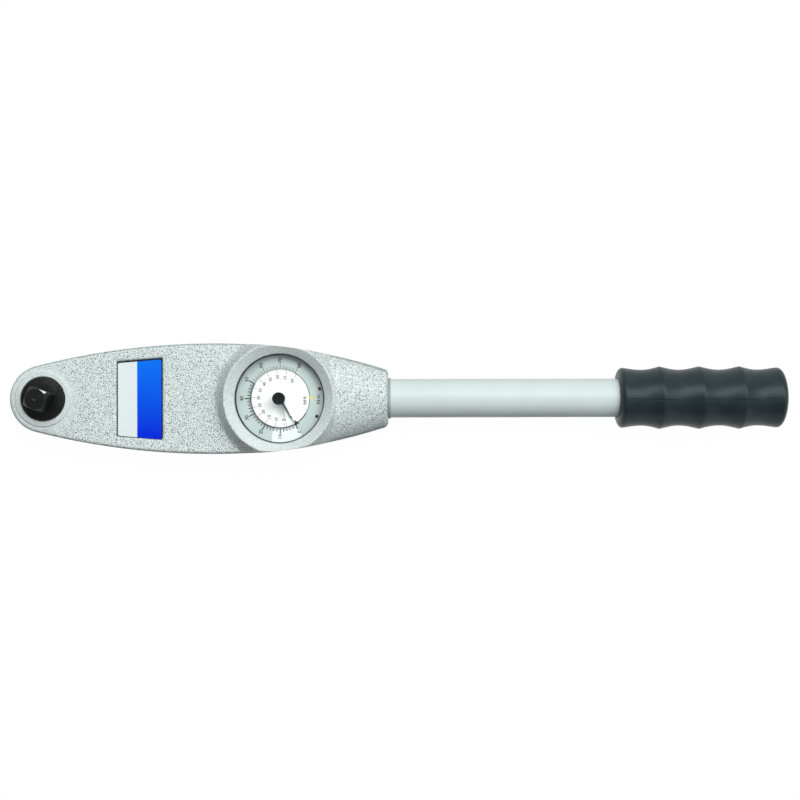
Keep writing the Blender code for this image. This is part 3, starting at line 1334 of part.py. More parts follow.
def handle():
    tube_start = NECK_END_X - TUBE_IN_NECK
    tube_end = GRIP_X + GRIP_LENGTH - GRIP_END_WALL - SEAT_GAP
    tube = tube_shape(
        "handle_tube", TUBE_RADIUS - TUBE_WALL, TUBE_RADIUS, tube_start, tube_end, MINT_PAINT
    )
    pin_x = DRIVE_X + DRIVE_TO_TUBE_PIN
    cut_hole(tube, "tube_cross_hole", TUBE_PIN_RADIUS + FIT_GAP, 0, 2 * TUBE_AXIS_HEIGHT, (pin_x, 0))
    rod(
        "tube_pin", TUBE_PIN_RADIUS, HOUSING_BOTTOM + SEAT_GAP, TUBE_AXIS_HEIGHT + TUBE_RADIUS, STEEL,
        (pin_x, 0), SMALL_STEPS,
    )
    ring_start = NECK_END_X + SEAT_GAP
    ring_inner = TUBE_RADIUS + FIT_GAP
    tube_shape(
        "neck_ring", ring_inner, ring_inner + NECK_RING_WALL, ring_start, ring_start + NECK_RING_WIDTH,
        GREY_RUBBER,
    )
    bore = TUBE_RADIUS + SEAT_GAP
    bore_end = GRIP_LENGTH - GRIP_END_WALL
    outer = [(radius, along) for along, radius in reversed(grip_profile())]
    profile = outer + [(bore, 0), (bore, bore_end), (0, bore_end)]
    grip = turned("grip", profile, GRIP_PLASTIC, (GRIP_X, 0, TUBE_AXIS_HEIGHT))
    grip.rotation_euler.y = math.pi / 2


def build():
    drive_axis = axis_empty("drive_axis", DRIVE_X)
    sector_axis = axis_empty("sector_axis", SECTOR_PIVOT_X)
    pointer_axis = axis_empty("pointer_axis", DIAL_X)
    memory_axis = axis_empty("memory_axis", DIAL_X)
    housing_shell()
    back_cover()
    fasteners()
    drive_parts(drive_axis)
    beam_and_anchor()
    movement(sector_axis, pointer_axis)
    dial_parts(pointer_axis, memory_axis)
    handle()


build()
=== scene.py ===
# %% [markdown]
# # A dial torque wrench, dressed for the camera
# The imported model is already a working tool: every piece has its real size and rides on the body
# that moves it. This file only gives it its looks. It loads that model as a fixed frame, builds a
# finer piece over each one that shows, and paints everything with procedural finishes.
# The frame is loaded first, because every piece below takes its place from it.

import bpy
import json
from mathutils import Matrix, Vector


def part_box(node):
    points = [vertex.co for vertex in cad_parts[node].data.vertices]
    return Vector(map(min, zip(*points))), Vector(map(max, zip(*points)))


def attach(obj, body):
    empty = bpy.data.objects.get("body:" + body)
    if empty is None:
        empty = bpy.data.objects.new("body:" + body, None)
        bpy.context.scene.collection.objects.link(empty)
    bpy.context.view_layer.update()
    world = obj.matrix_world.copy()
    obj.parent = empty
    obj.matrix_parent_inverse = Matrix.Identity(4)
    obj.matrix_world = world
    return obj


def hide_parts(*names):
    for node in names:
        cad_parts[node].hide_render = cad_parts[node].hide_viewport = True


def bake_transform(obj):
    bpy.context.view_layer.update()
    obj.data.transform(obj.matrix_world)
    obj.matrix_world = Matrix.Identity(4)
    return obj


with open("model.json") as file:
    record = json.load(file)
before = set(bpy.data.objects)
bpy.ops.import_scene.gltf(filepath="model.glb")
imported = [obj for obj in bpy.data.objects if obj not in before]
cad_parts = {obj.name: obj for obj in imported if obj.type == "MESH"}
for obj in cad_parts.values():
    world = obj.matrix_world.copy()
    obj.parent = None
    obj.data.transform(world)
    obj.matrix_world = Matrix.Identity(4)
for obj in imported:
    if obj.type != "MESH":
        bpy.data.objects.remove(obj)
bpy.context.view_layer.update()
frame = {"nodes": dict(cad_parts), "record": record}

# %% [markdown]
# ## Places and sizes
# Sizes are written in millimetres, as on a drawing, and become metres once, when a mesh is made.
# Places are read from the boxes of the pieces in the frame, so the dressing stays on the model
# when a length there changes. Only the radii of the plan's arcs have to be repeated here, since
# a box doesn't hold them.

# %% Read the main places from the frame
import json
import math

import bmesh
import bpy
import numpy as np
from mathutils import Matrix, Vector

MM = 0.001


def box_mm(node):
    """The lowest and highest corner of a piece of the frame, in millimetres."""
    low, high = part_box(node)
    return low / MM, high / MM


shell_low, shell_high = box_mm("housing_shell")
spindle_low, spindle_high = box_mm("drive_spindle")
lens_low, lens_high = box_mm("lens")
tube_low, tube_high = box_mm("handle_tube")
grip_low, grip_high = box_mm("grip")
DRIVE_X = (spindle_low.x + spindle_high.x) / 2
DIAL_X = (lens_low.x + lens_high.x) / 2
NECK_END_X = shell_high.x
HANDLE_HEIGHT = (tube_low.z + tube_high.z) / 2
print(f"drive at {DRIVE_X:.1f}, dial at {DIAL_X:.1f}, neck ends at {NECK_END_X:.1f} mm")

# %% [markdown]
# ## Small tools for making pieces
# Four ways of making a mesh cover the whole wrench. A turned piece is a profile spun round an
# axis, as on a lathe. A plate is an outline pushed up to a thickness. A carved piece is a mesh
# cut or joined by another one, for which the manifold solver is quick even on dense meshes. The
# rest are grids of points that follow a formula.

# %% Make meshes and put pieces on their bodies
GAP = 0.3
FINE_TURN = 160
SMALL_TURN = 48
WELD = 1e-7


def mesh_from(name, points, faces):
    """A mesh from points in millimetres, with its faces turned outwards."""
    shape = bmesh.new()
    corners = [shape.verts.new(Vector(point) * MM) for point in points]
    for face in faces:
        shape.faces.new([corners[i] for i in face])
    bmesh.ops.remove_doubles(shape, verts=shape.verts, dist=WELD)
    bmesh.ops.recalc_face_normals(shape, faces=shape.faces)
    mesh = bpy.data.meshes.new(name)
    shape.to_mesh(mesh)
    shape.free()
    return mesh


def put(name, mesh, at=(0, 0, 0)):
    """An object for a mesh, with its origin at a place in millimetres."""
    obj = bpy.data.objects.new(name, mesh)
    obj.location = Vector(at) * MM
    bpy.context.scene.collection.objects.link(obj)
    return obj


def fit(obj, body, material, stands_for=(), sharp=35):
    """Shades a piece smooth with its flat faces kept flat, paints it and rides it on its body."""
    mesh = obj.data
    mesh.materials.clear()
    mesh.materials.append(material)
    mesh.shade_smooth()
    mesh.set_sharp_from_angle(angle=math.radians(sharp))
    even = obj.modifiers.new("even_normals", "WEIGHTED_NORMAL")
    even.keep_sharp = True
    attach(obj, body)
    if stands_for:
        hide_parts(*stands_for)
    print(f"{obj.name}: {len(mesh.polygons)} faces")
    return obj


# %% Turn profiles, raise plates and carve
CORNER_STEPS = 5


def soften(corners):
    """Rounds the corners of a path. Each corner is (x, y) or (x, y, radius)."""
    path = []
    for i, corner in enumerate(corners):
        radius = corner[2] if len(corner) > 2 else 0
        if not radius or i in (0, len(corners) - 1):
            path.append(tuple(corner[:2]))
            continue
        here = Vector(corner[:2])
        back = (Vector(corners[i - 1][:2]) - here).normalized()
        ahead = (Vector(corners[i + 1][:2]) - here).normalized()
        half = back.angle(ahead) / 2
        centre = here + (back + ahead).normalized() * radius / math.sin(half)
        start = here + back * radius / math.tan(half) - centre
        end = here + ahead * radius / math.tan(half) - centre
        first = math.atan2(start.y, start.x)
        turn = (math.atan2(end.y, end.x) - first + math.pi) % math.tau - math.pi
        for k in range(CORNER_STEPS + 1):
            angle = first + turn * k / CORNER_STEPS
            path.append((centre.x + radius * math.cos(angle), centre.y + radius * math.sin(angle)))
    return path


def turned(name, profile, at=(0, 0, 0), steps=FINE_TURN, axis="z", ring=False):
    """Spins a profile of (radius, along) round an axis through a place. A ring closes on itself."""
    turns = [math.tau * k / steps for k in range(steps)]
    points = []
    for radius, along in profile:
        for turn in turns:
            a, b = radius * math.cos(turn), radius * math.sin(turn)
            points.append((a, b, along) if axis == "z" else (along, a, b))
    rows = len(profile)
    faces = []
    for row in range(rows if ring else rows - 1):
        following = (row + 1) % rows
        for k in range(steps):
            after = (k + 1) % steps
            faces.append(
                (row * steps + k, row * steps + after, following * steps + after, following * steps + k)
            )
    return put(name, mesh_from(name, points, faces), at)


def plate(name, outline, bottom, top, at=(0, 0, 0)):
    """An outline of (x, y) raised from a bottom to a top."""
    count = len(outline)
    points = [(x, y, bottom) for x, y in outline] + [(x, y, top) for x, y in outline]
    faces = [tuple(range(count)), tuple(range(count, 2 * count))]
    faces += [(i, (i + 1) % count, count + (i + 1) % count, count + i) for i in range(count)]
    return put(name, mesh_from(name, points, faces), at)


def carve(obj, tools, operation="DIFFERENCE"):
    """Cuts or joins an object with tools that don't touch each other, and uses them up."""
    first, *others = tools
    if others:
        with bpy.context.temp_override(active_object=first, selected_editable_objects=tools):
            bpy.ops.object.join()
    change = obj.modifiers.new("carve", "BOOLEAN")
    change.operation = operation
    change.solver = "MANIFOLD"
    change.object = first
    evaluated = obj.evaluated_get(bpy.context.evaluated_depsgraph_get())
    mesh = bpy.data.meshes.new_from_object(evaluated)
    obj.modifiers.remove(change)
    obj.data = mesh
    bpy.data.objects.remove(first)
    return obj


def drill(radius, bottom, top, place, steps=SMALL_TURN):
    """A round cutter, standing at a place in the plan."""
    profile = [(0, top), (radius, top), (radius, bottom), (0, bottom)]
    return turned("drill", profile, (*place, 0), steps)


# %% [markdown]
# ## The plan of the housing
# Seen from above, the housing is a round head, a long swelling side that is tangent to it, a
# short straight run at the widest place, and a neck that curves back in to the tube. Four arcs
# say all of that, and the half width at any distance from the drive axis follows from them. The
# same function serves the housing, its cavity and the back cover, drawn in by an inset.

# %% Describe the outline by its arcs
HEAD_RADIUS = DRIVE_X - shell_low.x
HALF_WIDTH = shell_high.y
DRIVE_TO_WIDEST = 105.0
WIDEST_RUN = 3.0
NECK_RADIUS = 342.0
CORNER_RADIUS = 3.2
OUTLINE_STEP = 0.8
DRIVE_TO_DIAL = DIAL_X - DRIVE_X
DRIVE_TO_END = NECK_END_X - DRIVE_X

side_radius = (DRIVE_TO_WIDEST**2 + HALF_WIDTH**2 - HEAD_RADIUS**2) / (2 * (HALF_WIDTH - HEAD_RADIUS))
side_centre_y = HALF_WIDTH - side_radius
head_tangent = math.atan2(-side_centre_y, -DRIVE_TO_WIDEST)
neck_centre_x = DRIVE_TO_WIDEST + WIDEST_RUN
neck_centre_y = HALF_WIDTH - NECK_RADIUS
corner_x = DRIVE_TO_END - CORNER_RADIUS
corner_y = neck_centre_y + math.sqrt(
    (NECK_RADIUS - CORNER_RADIUS) ** 2 - (corner_x - neck_centre_x) ** 2
)
corner_start = math.atan2(corner_y - neck_centre_y, corner_x - neck_centre_x)


def half_width(distance, inset=0.0):
    """Half the housing's width at a distance behind the drive axis."""
    head = HEAD_RADIUS - inset
    if distance <= head * math.cos(head_tangent):
        return math.sqrt(max(0.0, head**2 - distance**2))
    if distance <= DRIVE_TO_WIDEST:
        return side_centre_y + math.sqrt((side_radius - inset) ** 2 - (distance - DRIVE_TO_WIDEST) ** 2)
    if distance <= neck_centre_x:
        return HALF_WIDTH - inset
    corner = CORNER_RADIUS - inset
    if distance <= corner_x + corner * math.cos(corner_start):
        return neck_centre_y + math.sqrt((NECK_RADIUS - inset) ** 2 - (distance - neck_centre_x) ** 2)
    return corner_y + math.sqrt(max(0.0, corner**2 - (distance - corner_x) ** 2))


def outline(inset=0.0, start=-HEAD_RADIUS, end=DRIVE_TO_END):
    """The outline in the plan, drawn in by an inset and cut square at its ends."""
    first = max(start, inset - HEAD_RADIUS)
    last = min(end, DRIVE_TO_END - inset)
    nose = [-(HEAD_RADIUS - inset) * math.cos(math.radians(a)) for a in range(0, 76, 2)]
    straight = np.arange(nose[-1] + OUTLINE_STEP, corner_x, OUTLINE_STEP)
    corner = [
        corner_x + (CORNER_RADIUS - inset) * math.sin(math.radians(a))
        for a in range(20, 90, 10)
    ]
    inner = [s for s in [*nose, *straight, *corner] if first + 0.01 < s < last - 0.01]
    half = [(DRIVE_X + s, half_width(s, inset)) for s in [first, *inner, last]]
    return half + [(x, -y) for x, y in reversed(half) if y > 0]


print(f"widest {2 * half_width(DRIVE_TO_WIDEST):.1f} mm, at the neck's end {2 * corner_y:.1f} mm")

# %% [markdown]
# ## The housing's top, as a height over the plan
# The casting has three forms that melt into each other: a flat head with a rounded edge, a raised
# ring round the dial and an arched neck. Joining three solids would leave hard creases between
# them. A grid of points over the plan is better here: each form gives a height at each point, and
# a smooth maximum takes the highest with the crease between them rounded. The rows follow the
# outline's own normals at the head, so that the rounded edge stays even all the way round.

# %% Heights of the three forms
FACE = 26.0
FACE_EDGE = 2.2
RING_CREST = shell_high.z
RING_OUTER = 34.0
RING_FLANK = 15.2
FLANK_DEPTH = 19.5
RING_EDGE = 1.5
CROWN_AT_DIAL = RING_CREST - 1.0
CROWN_AT_END = 36.0
SIDE_AT_DIAL = FACE - 2.0
SIDE_AT_END = 18.0
ARCH_FROM = 132.0
ARCH_SINK = 14.0
FACE_ENDS = (150.0, 175.0)
FACE_SINK = 12.0
MELT = 1.6


def smooth_max(a, b, width):
    """The larger of two heights, with the crease between them rounded."""
    share = np.clip(0.5 + 0.5 * (a - b) / width, 0, 1)
    return b + (a - b) * share + width * share * (1 - share)


def smooth_step(low, high, value):
    """Rises smoothly from 0 to 1 between two values."""
    share = np.clip((value - low) / (high - low), 0, 1)
    return share * share * (3 - 2 * share)


def edge_drop(radius, inset):
    """How far a rounded edge lies below its face, at a distance in from the outline."""
    into = np.clip(radius - inset, 0, radius)
    return radius - np.sqrt(np.maximum(0, radius**2 - into**2))


def ring_height(radius):
    """The ring's crest and its hollow flank, steep at the crest, which runs out under the face."""
    share = np.clip((radius - RING_OUTER) / RING_FLANK, 0, 1)
    return RING_CREST - FLANK_DEPTH * (1 - (1 - share) ** 2)


def top_height(distance, y, inset):
    """The height of the housing over a point of the plan."""
    width = np.array([half_width(s) for s in distance])
    full = np.array([half_width(min(s, corner_x)) for s in distance])
    share = np.clip((distance - DRIVE_TO_DIAL) / (DRIVE_TO_END - DRIVE_TO_DIAL), 0, 1)
    side = SIDE_AT_DIAL + (SIDE_AT_END - SIDE_AT_DIAL) * share
    crown = CROWN_AT_DIAL + (CROWN_AT_END - CROWN_AT_DIAL) * share
    crown = crown - np.where(distance > corner_x, full - width, 0)
    arch = side + (crown - side) * np.sqrt(np.clip(1 - (y / np.maximum(width, 0.1)) ** 2, 0, 1))
    arch = arch - ARCH_SINK * (1 - smooth_step(ARCH_FROM, DRIVE_TO_DIAL, distance))
    face = FACE - edge_drop(FACE_EDGE, inset) - FACE_SINK * smooth_step(*FACE_ENDS, distance)
    ring = ring_height(np.hypot(distance - DRIVE_TO_DIAL, y)) - edge_drop(RING_EDGE, inset)
    return smooth_max(smooth_max(face, arch, MELT), ring, MELT)


sample = top_height(np.array([60.0, DRIVE_TO_DIAL]), np.array([0.0, RING_OUTER]), np.array([20.0, 20.0]))
print(f"the face lies at {sample[0]:.1f} mm and the ring's crest at {sample[1]:.1f} mm")

# %% Lay the grid's rows from the outline to the spine
ROW_STEP = 0.6
HEAD_ROWS = 46
CORNER_ROWS = 12
EDGE_COLUMNS = 9
FLAT_COLUMNS = 58

rows = []
for angle in np.linspace(math.pi, head_tangent, HEAD_ROWS):
    rows.append((HEAD_RADIUS * math.cos(angle), HEAD_RADIUS * math.sin(angle), angle, 0.0))
side_turns = np.linspace(head_tangent, math.pi / 2, int(DRIVE_TO_WIDEST / ROW_STEP))[1:]
for angle in side_turns:
    x = DRIVE_TO_WIDEST + side_radius * math.cos(angle)
    y = side_centre_y + side_radius * math.sin(angle)
    rows.append((x, y, angle, x - y / math.tan(angle)))
for s in np.arange(DRIVE_TO_WIDEST + ROW_STEP, corner_x, ROW_STEP):
    rows.append((s, half_width(s), math.pi / 2, s))
for angle in np.linspace(corner_start, 0, CORNER_ROWS):
    s = corner_x + CORNER_RADIUS * math.cos(angle)
    rows.append((s, half_width(s), math.pi / 2, s))

edge_turns = np.linspace(0, math.pi / 2, EDGE_COLUMNS + 1)
edge_insets = FACE_EDGE * (1 - np.cos(edge_turns))
flat_shares = np.linspace(0, 1, FLAT_COLUMNS + 1)[1:]

half_grid = np.zeros((len(rows), EDGE_COLUMNS + 1 + FLAT_COLUMNS, 3))
for index, (x, y, angle, spine) in enumerate(rows):
    inward = np.array([-math.cos(angle), -math.sin(angle)])
    reach = math.hypot(x - spine, y)
    insets = np.concatenate([edge_insets, FACE_EDGE + (reach - FACE_EDGE) * flat_shares])
    line = np.array([x, y]) + np.outer(insets, inward)
    line[-1] = (spine, 0.0)
    half_grid[index, :, :2] = line
    half_grid[index, :, 2] = top_height(line[:, 0], line[:, 1], insets)
print("grid of", half_grid.shape[0], "rows and", 2 * half_grid.shape[1] - 1, "columns")

# %% [markdown]
# The half grid is mirrored, closed with walls down to the cover and a flat floor, and welded. The
# nose's rows all meet at the drive axis, in the middle of the bore that is cut there next.

# %% Close the grid into a solid
SHELL_BOTTOM = shell_low.z
full_grid = np.concatenate([half_grid, (half_grid * (1, -1, 1))[:, -2::-1]], axis=1)
full_grid[:, :, 0] += DRIVE_X
row_count, column_count = full_grid.shape[:2]
shell_points = [tuple(p) for p in full_grid.reshape(-1, 3)]
shell_faces = []
for i in range(row_count - 1):
    for j in range(column_count - 1):
        corner = i * column_count + j
        shell_faces.append((corner, corner + 1, corner + column_count + 1, corner + column_count))
rim = [i * column_count for i in range(row_count)]
rim += [(row_count - 1) * column_count + j for j in range(1, column_count - 1)]
rim += [i * column_count + column_count - 1 for i in range(row_count - 1, 0, -1)]
end_start = (row_count - 1) * column_count
side_rim = [i for i in rim if not end_start < i < end_start + column_count - 1]
floor_of = {}
for i in side_rim:
    floor_of[i] = len(shell_points)
    shell_points.append((*shell_points[i][:2], SHELL_BOTTOM))
plus_side = [i for i in side_rim if i % column_count == 0]
minus_side = [i for i in side_rim if i % column_count == column_count - 1]
for side in (plus_side, sorted(minus_side)):
    for a, b in zip(side, side[1:]):
        shell_faces.append((a, b, floor_of[b], floor_of[a]))
nose_a, nose_b = plus_side[0], min(minus_side)
shell_faces.append((nose_a, nose_b, floor_of[nose_b], floor_of[nose_a]))
end_row = list(range(end_start, end_start + column_count))
shell_faces.append((*end_row, floor_of[end_row[-1]], floor_of[end_row[0]]))
shell_faces.append(tuple(floor_of[i] for i in side_rim))
print(len(shell_points), "points,", len(shell_faces), "faces before welding")

# %% [markdown]
# ## Finishes shared by several pieces
# A real surface is never one even colour. Two effects come back on almost every piece: a fine
# grain from moulding or blasting, and slow patches from handling. Each is a node group with
# named inputs, so a finish can ask for "0.3 mm grain" instead of copying nodes. Both measure in
# millimetres on the piece itself.

# %% Helpers for shader nodes
def node(tree, kind, inputs=(), **settings):
    """Adds a shader node. Inputs take plain values or the sockets that feed them."""
    made = tree.nodes.new("ShaderNode" + kind)
    for name, value in settings.items():
        setattr(made, name, value)
    for socket, value in dict(inputs).items():
        if isinstance(value, bpy.types.NodeSocket):
            tree.links.new(value, made.inputs[socket])
        else:
            made.inputs[socket].default_value = value
    return made


def new_group(name, inputs, output):
    """A node group with number inputs and one number output that varies over the surface."""
    tree = bpy.data.node_groups.new(name, "ShaderNodeTree")
    for socket, default in inputs.items():
        made = tree.interface.new_socket(socket, in_out="INPUT", socket_type="NodeSocketFloat")
        made.default_value = default
    tree.interface.new_socket(output, in_out="OUTPUT", socket_type="NodeSocketFloat")
    return tree, tree.nodes.new("NodeGroupInput").outputs, tree.nodes.new("NodeGroupOutput")


def place_mm(tree):
    """The point on the piece, in millimetres."""
    spot = node(tree, "TexCoord")
    scaled = node(tree, "VectorMath", {0: spot.outputs["Object"], "Scale": 1 / MM}, operation="SCALE")
    return scaled.outputs[0]


def new_finish(name, **sockets):
    """A material with its plain values on the shader's own sockets."""
    material = bpy.data.materials.new(name)
    material.use_nodes = True
    shader = material.node_tree.nodes["Principled BSDF"]
    for socket, value in sockets.items():
        if isinstance(value, tuple):
            value = (*value, 1.0)
        shader.inputs[socket.replace("_", " ").title().replace("Ior", "IOR")].default_value = value
    return material, material.node_tree, shader


# %% Grain and patches
GRAIN, given, put_out = new_group("fine_grain", {"Size": 0.3, "Detail": 2.0}, "Height")
inverse = node(GRAIN, "Math", {0: 1.0, 1: given["Size"]}, operation="DIVIDE")
noise = node(
    GRAIN, "TexNoise",
    {
        "Vector": place_mm(GRAIN), "Scale": inverse.outputs[0], "Detail": given["Detail"],
        "Roughness": 0.6,
    },
)
GRAIN.links.new(noise.outputs["Fac"], put_out.inputs["Height"])

PATCHES, given, put_out = new_group("slow_patches", {"Size": 12.0, "Low": 0.3, "High": 0.5}, "Value")
inverse = node(PATCHES, "Math", {0: 1.0, 1: given["Size"]}, operation="DIVIDE")
noise = node(
    PATCHES, "TexNoise", {"Vector": place_mm(PATCHES), "Scale": inverse.outputs[0], "Detail": 3.0}
)
spread = node(
    PATCHES, "MapRange",
    {0: noise.outputs["Fac"], 1: 0.3, 2: 0.7, 3: given["Low"], 4: given["High"]},
)
PATCHES.links.new(spread.outputs[0], put_out.inputs["Value"])

print("shared effects:", [group.name for group in bpy.data.node_groups])

# %% [markdown]
# Most finishes follow one recipe: two close tones mixed by patches, roughness that drifts a
# little, and a bump from the grain. Only the numbers change from one material to the next, so the
# recipe is a function. A finish with something of its own is built from the same small parts.

# %% The common recipe
def blend_colours(tree, share, first, second):
    """Mixes two colours by a share. Each is a plain colour or the socket that feeds it."""
    mix = node(tree, "Mix", {0: share}, data_type="RGBA")
    for index, colour in ((6, first), (7, second)):
        if isinstance(colour, bpy.types.NodeSocket):
            tree.links.new(colour, mix.inputs[index])
        else:
            mix.inputs[index].default_value = (*colour, 1)
    return mix


def colour_ramp(tree, share, first, *between, last):
    """Turns a share into a colour, from stops of a position and a colour in rising order."""
    ramp = node(tree, "ValToRGB", {0: share})
    elements = ramp.color_ramp.elements
    for element, (position, colour) in ((elements[0], first), (elements[1], last)):
        element.position = position
        element.color = (*colour, 1)
    for position, colour in between:
        elements.new(position).color = (*colour, 1)
    return ramp


def tones(tree, shader, dark, light, size):
    """Feeds the base colour with two close tones, mixed in slow patches."""
    mask = node(tree, "Group", {"Size": size, "Low": 0.0, "High": 1.0}, node_tree=PATCHES)
    mix = blend_colours(tree, mask.outputs["Value"], dark, light)
    tree.links.new(mix.outputs[2], shader.inputs["Base Color"])
    return mix


def drift(tree, shader, low, high, size):
    """Lets the roughness drift between two values."""
    value = node(tree, "Group", {"Size": size, "Low": low, "High": high}, node_tree=PATCHES)
    tree.links.new(value.outputs["Value"], shader.inputs["Roughness"])


def bump(tree, shader, height, depth, strength=1.0):
    """Raises the surface by a height of up to a depth in millimetres."""
    raised = node(tree, "Bump", {"Height": height, "Strength": strength, "Distance": depth * MM})
    tree.links.new(raised.outputs[0], shader.inputs["Normal"])
    return raised


def common_finish(name, dark, light, rough, grain, depth, metallic=0.0, patch=9.0, **more):
    """A finish of two tones, with a range of roughness and a grain of some size and depth."""
    material, tree, shader = new_finish(name, metallic=metallic, **more)
    tones(tree, shader, dark, light, patch)
    drift(tree, shader, rough[0], rough[1], patch * 0.6)
    height = node(tree, "Group", {"Size": grain, "Detail": 3.0}, node_tree=GRAIN)
    bump(tree, shader, height.outputs["Height"], depth)
    return material


# %% [markdown]
# ## Hammered silver paint
# The casting wears a hammered paint: as it dries it draws together in shallow dishes about a
# millimetre wide, with dark pin pricks where the flake parts. Voronoi cells give the dishes and
# feed the bump, so each one catches the lamp by itself. A finer noise picks the pricks, which are
# darker and lie deeper. Round the drive and inside the dial's ring the casting was turned smooth
# before painting, so the pricks fade out there, by the distance from the two axes. Everything
# lower than the face is painted a darker grey: painted shade on the upright walls and in the plate's
# recess, which darkens the back cover too.

# %% Mix the hammered paint
CELL = 1.0
PRICK = 0.68
SMOOTH_INSIDE = 17.0
ROUGH_OUTSIDE = 24.0
RING_SMOOTH = 32.5
RING_ROUGH = 35.5
LEAST_AT_DRIVE = 0.25
LEAST_AT_DIAL = 0.3
FACE_LEVEL = 25.8
WALL_SHADE_LEVEL = 25.3
WALL_SHADE_TONE = (0.56, 0.64, 0.64, 1)
SMOOTH_PAINT = (0.73, 0.82, 0.80)
PRICK_DARK = (0.05, 0.08, 0.075)
PAINT_TONE = (0.63, 0.725, 0.71)
PAINT_PALE = (0.88, 0.97, 0.955)
SILVER, tree, shader = new_finish("hammered_silver", specular_ior_level=0.25)
spot = place_mm(tree)
cells = node(
    tree, "TexVoronoi", {"Vector": spot, "Scale": 1 / CELL, "Smoothness": 0.4}, feature="SMOOTH_F1"
)
pricks = node(tree, "TexNoise", {"Vector": spot, "Scale": 1 / PRICK, "Detail": 2.5, "Roughness": 0.6})
in_plan = node(tree, "VectorMath", {0: spot, 1: (1, 1, 0)}, operation="MULTIPLY").outputs[0]
shares = []
for axis_x, near, far, least in (
    (DRIVE_X, SMOOTH_INSIDE, ROUGH_OUTSIDE, LEAST_AT_DRIVE),
    (DIAL_X, RING_SMOOTH, RING_ROUGH, LEAST_AT_DIAL),
):
    away = node(tree, "VectorMath", {0: in_plan, 1: (axis_x, 0, 0)}, operation="DISTANCE")
    share = node(tree, "MapRange", {0: away.outputs["Value"], 1: near, 2: far, 3: least, 4: 1.0})
    shares.append(share.outputs[0])
rough_share = node(tree, "Math", {0: shares[0], 1: shares[1]}, operation="MINIMUM")
ramp = colour_ramp(
    tree, pricks.outputs["Fac"], (0.365, PRICK_DARK), (0.455, PAINT_TONE), last=(0.57, PAINT_PALE)
)
paint = blend_colours(tree, rough_share.outputs[0], SMOOTH_PAINT, ramp.outputs[0])
# Everything lower than the face is darkened: painted shade on the walls and in the plate's recess.
height = node(tree, "SeparateXYZ", {0: spot}).outputs["Z"]
wall_shade = node(tree, "MapRange", {0: height, 1: FACE_LEVEL, 2: WALL_SHADE_LEVEL, 3: 0.0, 4: 1.0})
shaded_paint = node(
    tree, "Mix", {0: wall_shade.outputs[0], 6: paint.outputs[2], 7: WALL_SHADE_TONE}, data_type="RGBA",
    blend_type="MULTIPLY",
)
tree.links.new(shaded_paint.outputs[2], shader.inputs["Base Color"])
drift(tree, shader, 0.42, 0.55, 5.0)

# %% Raise its dishes and sink its pricks
DISH_DEPTH = 0.14
PRICK_DEPTH = 0.22
BUMP_SHARE = 0.7
deep, dish = (
    node(tree, "Math", {0: height, 1: rough_share.outputs[0]}, operation="MULTIPLY").outputs[0]
    for height in (pricks.outputs["Fac"], cells.outputs["Distance"])
)
prick_bump = node(
    tree, "Bump", {"Height": deep, "Strength": BUMP_SHARE, "Distance": PRICK_DEPTH * MM}
)
dish_bump = bump(tree, shader, dish, DISH_DEPTH, BUMP_SHARE)
tree.links.new(prick_bump.outputs[0], dish_bump.inputs["Normal"])
print("hammered paint:", len(tree.nodes), "nodes")

# %% [markdown]
# ## The housing
# The grid becomes the casting here: the boss round the drive is joined on, then the dial's
# pocket, the bores, the recess for the plate and the cavity are cut. Cutting with whole turned
# shapes keeps their rims crisp, which a grid of heights can't do.

# %% Cast the housing and join the boss
CEILING = 23.0
HEAD_CEILING = 17.4
WALL = 3.0
BOSS_RADIUS = 16.8
BOSS_TOP = FACE + 1.0
BOSS_SLOPE = 0.8
BOSS_FOOT = BOSS_RADIUS + 2 * BOSS_SLOPE
BOSS_ROOT = FACE - 1.5
casting = put("housing_casting", mesh_from("housing_casting", shell_points, shell_faces))
boss_profile = soften(
    [
        (0, BOSS_TOP), (BOSS_RADIUS, BOSS_TOP, 0.3), (BOSS_RADIUS + BOSS_SLOPE, FACE - 0.1, 0.3),
        (BOSS_FOOT, FACE - 0.12), (BOSS_FOOT, BOSS_ROOT), (0, BOSS_ROOT),
    ]
)
carve(casting, [turned("boss", boss_profile, (DRIVE_X, 0, 0))], "UNION")
print("casting with its boss:", len(casting.data.polygons), "faces")

# %% Cut the dial's pocket and the drive's bores
OPENING = lens_high.y + GAP
RING_INNER = 33.0
SLOPE_FOOT = 34.0
CUT_ABOVE = 8.0
CUT_REACH = 46.0
SKIM = 0.12
SQUARE_STAND = 16.0
SHOULDER_HEIGHT = 3.1
BORE_FLARE = 1.0
dial_low, dial_high = box_mm("dial_plate")
LEDGE_TOP = dial_low.z - GAP
LEDGE_RADIUS = 23.5
pocket_profile = soften(
    [
        (0, RING_CREST + CUT_ABOVE), (CUT_REACH, RING_CREST + CUT_ABOVE), (CUT_REACH, RING_CREST + SKIM),
        (RING_INNER, RING_CREST, 0.9), (OPENING, SLOPE_FOOT, 0.4), (OPENING, LEDGE_TOP),
        (LEDGE_RADIUS, LEDGE_TOP), (LEDGE_RADIUS, CEILING - WALL), (0, CEILING - WALL),
    ]
)
carve(casting, [turned("pocket", pocket_profile, (DIAL_X, 0, 0), 2 * FINE_TURN)])
SHOULDER_TOP = spindle_high.z - SQUARE_STAND
SHOULDER_BOTTOM = SHOULDER_TOP - SHOULDER_HEIGHT
SHOULDER_RADIUS = (spindle_high.x - spindle_low.x) / 2
bore = SHOULDER_RADIUS + GAP
bore_profile = [
    (0, BOSS_TOP + 12), (bore + BORE_FLARE, BOSS_TOP + 0.6), (bore, BOSS_TOP - 0.4),
    (bore, SHOULDER_BOTTOM - GAP), (0, SHOULDER_BOTTOM - GAP),
]
carve(casting, [turned("shoulder_bore", bore_profile, (DRIVE_X, 0, 0))])
bush_low, bush_high = box_mm("front_bush")
bush_bore = (bush_high.x - bush_low.x) / 2 + GAP
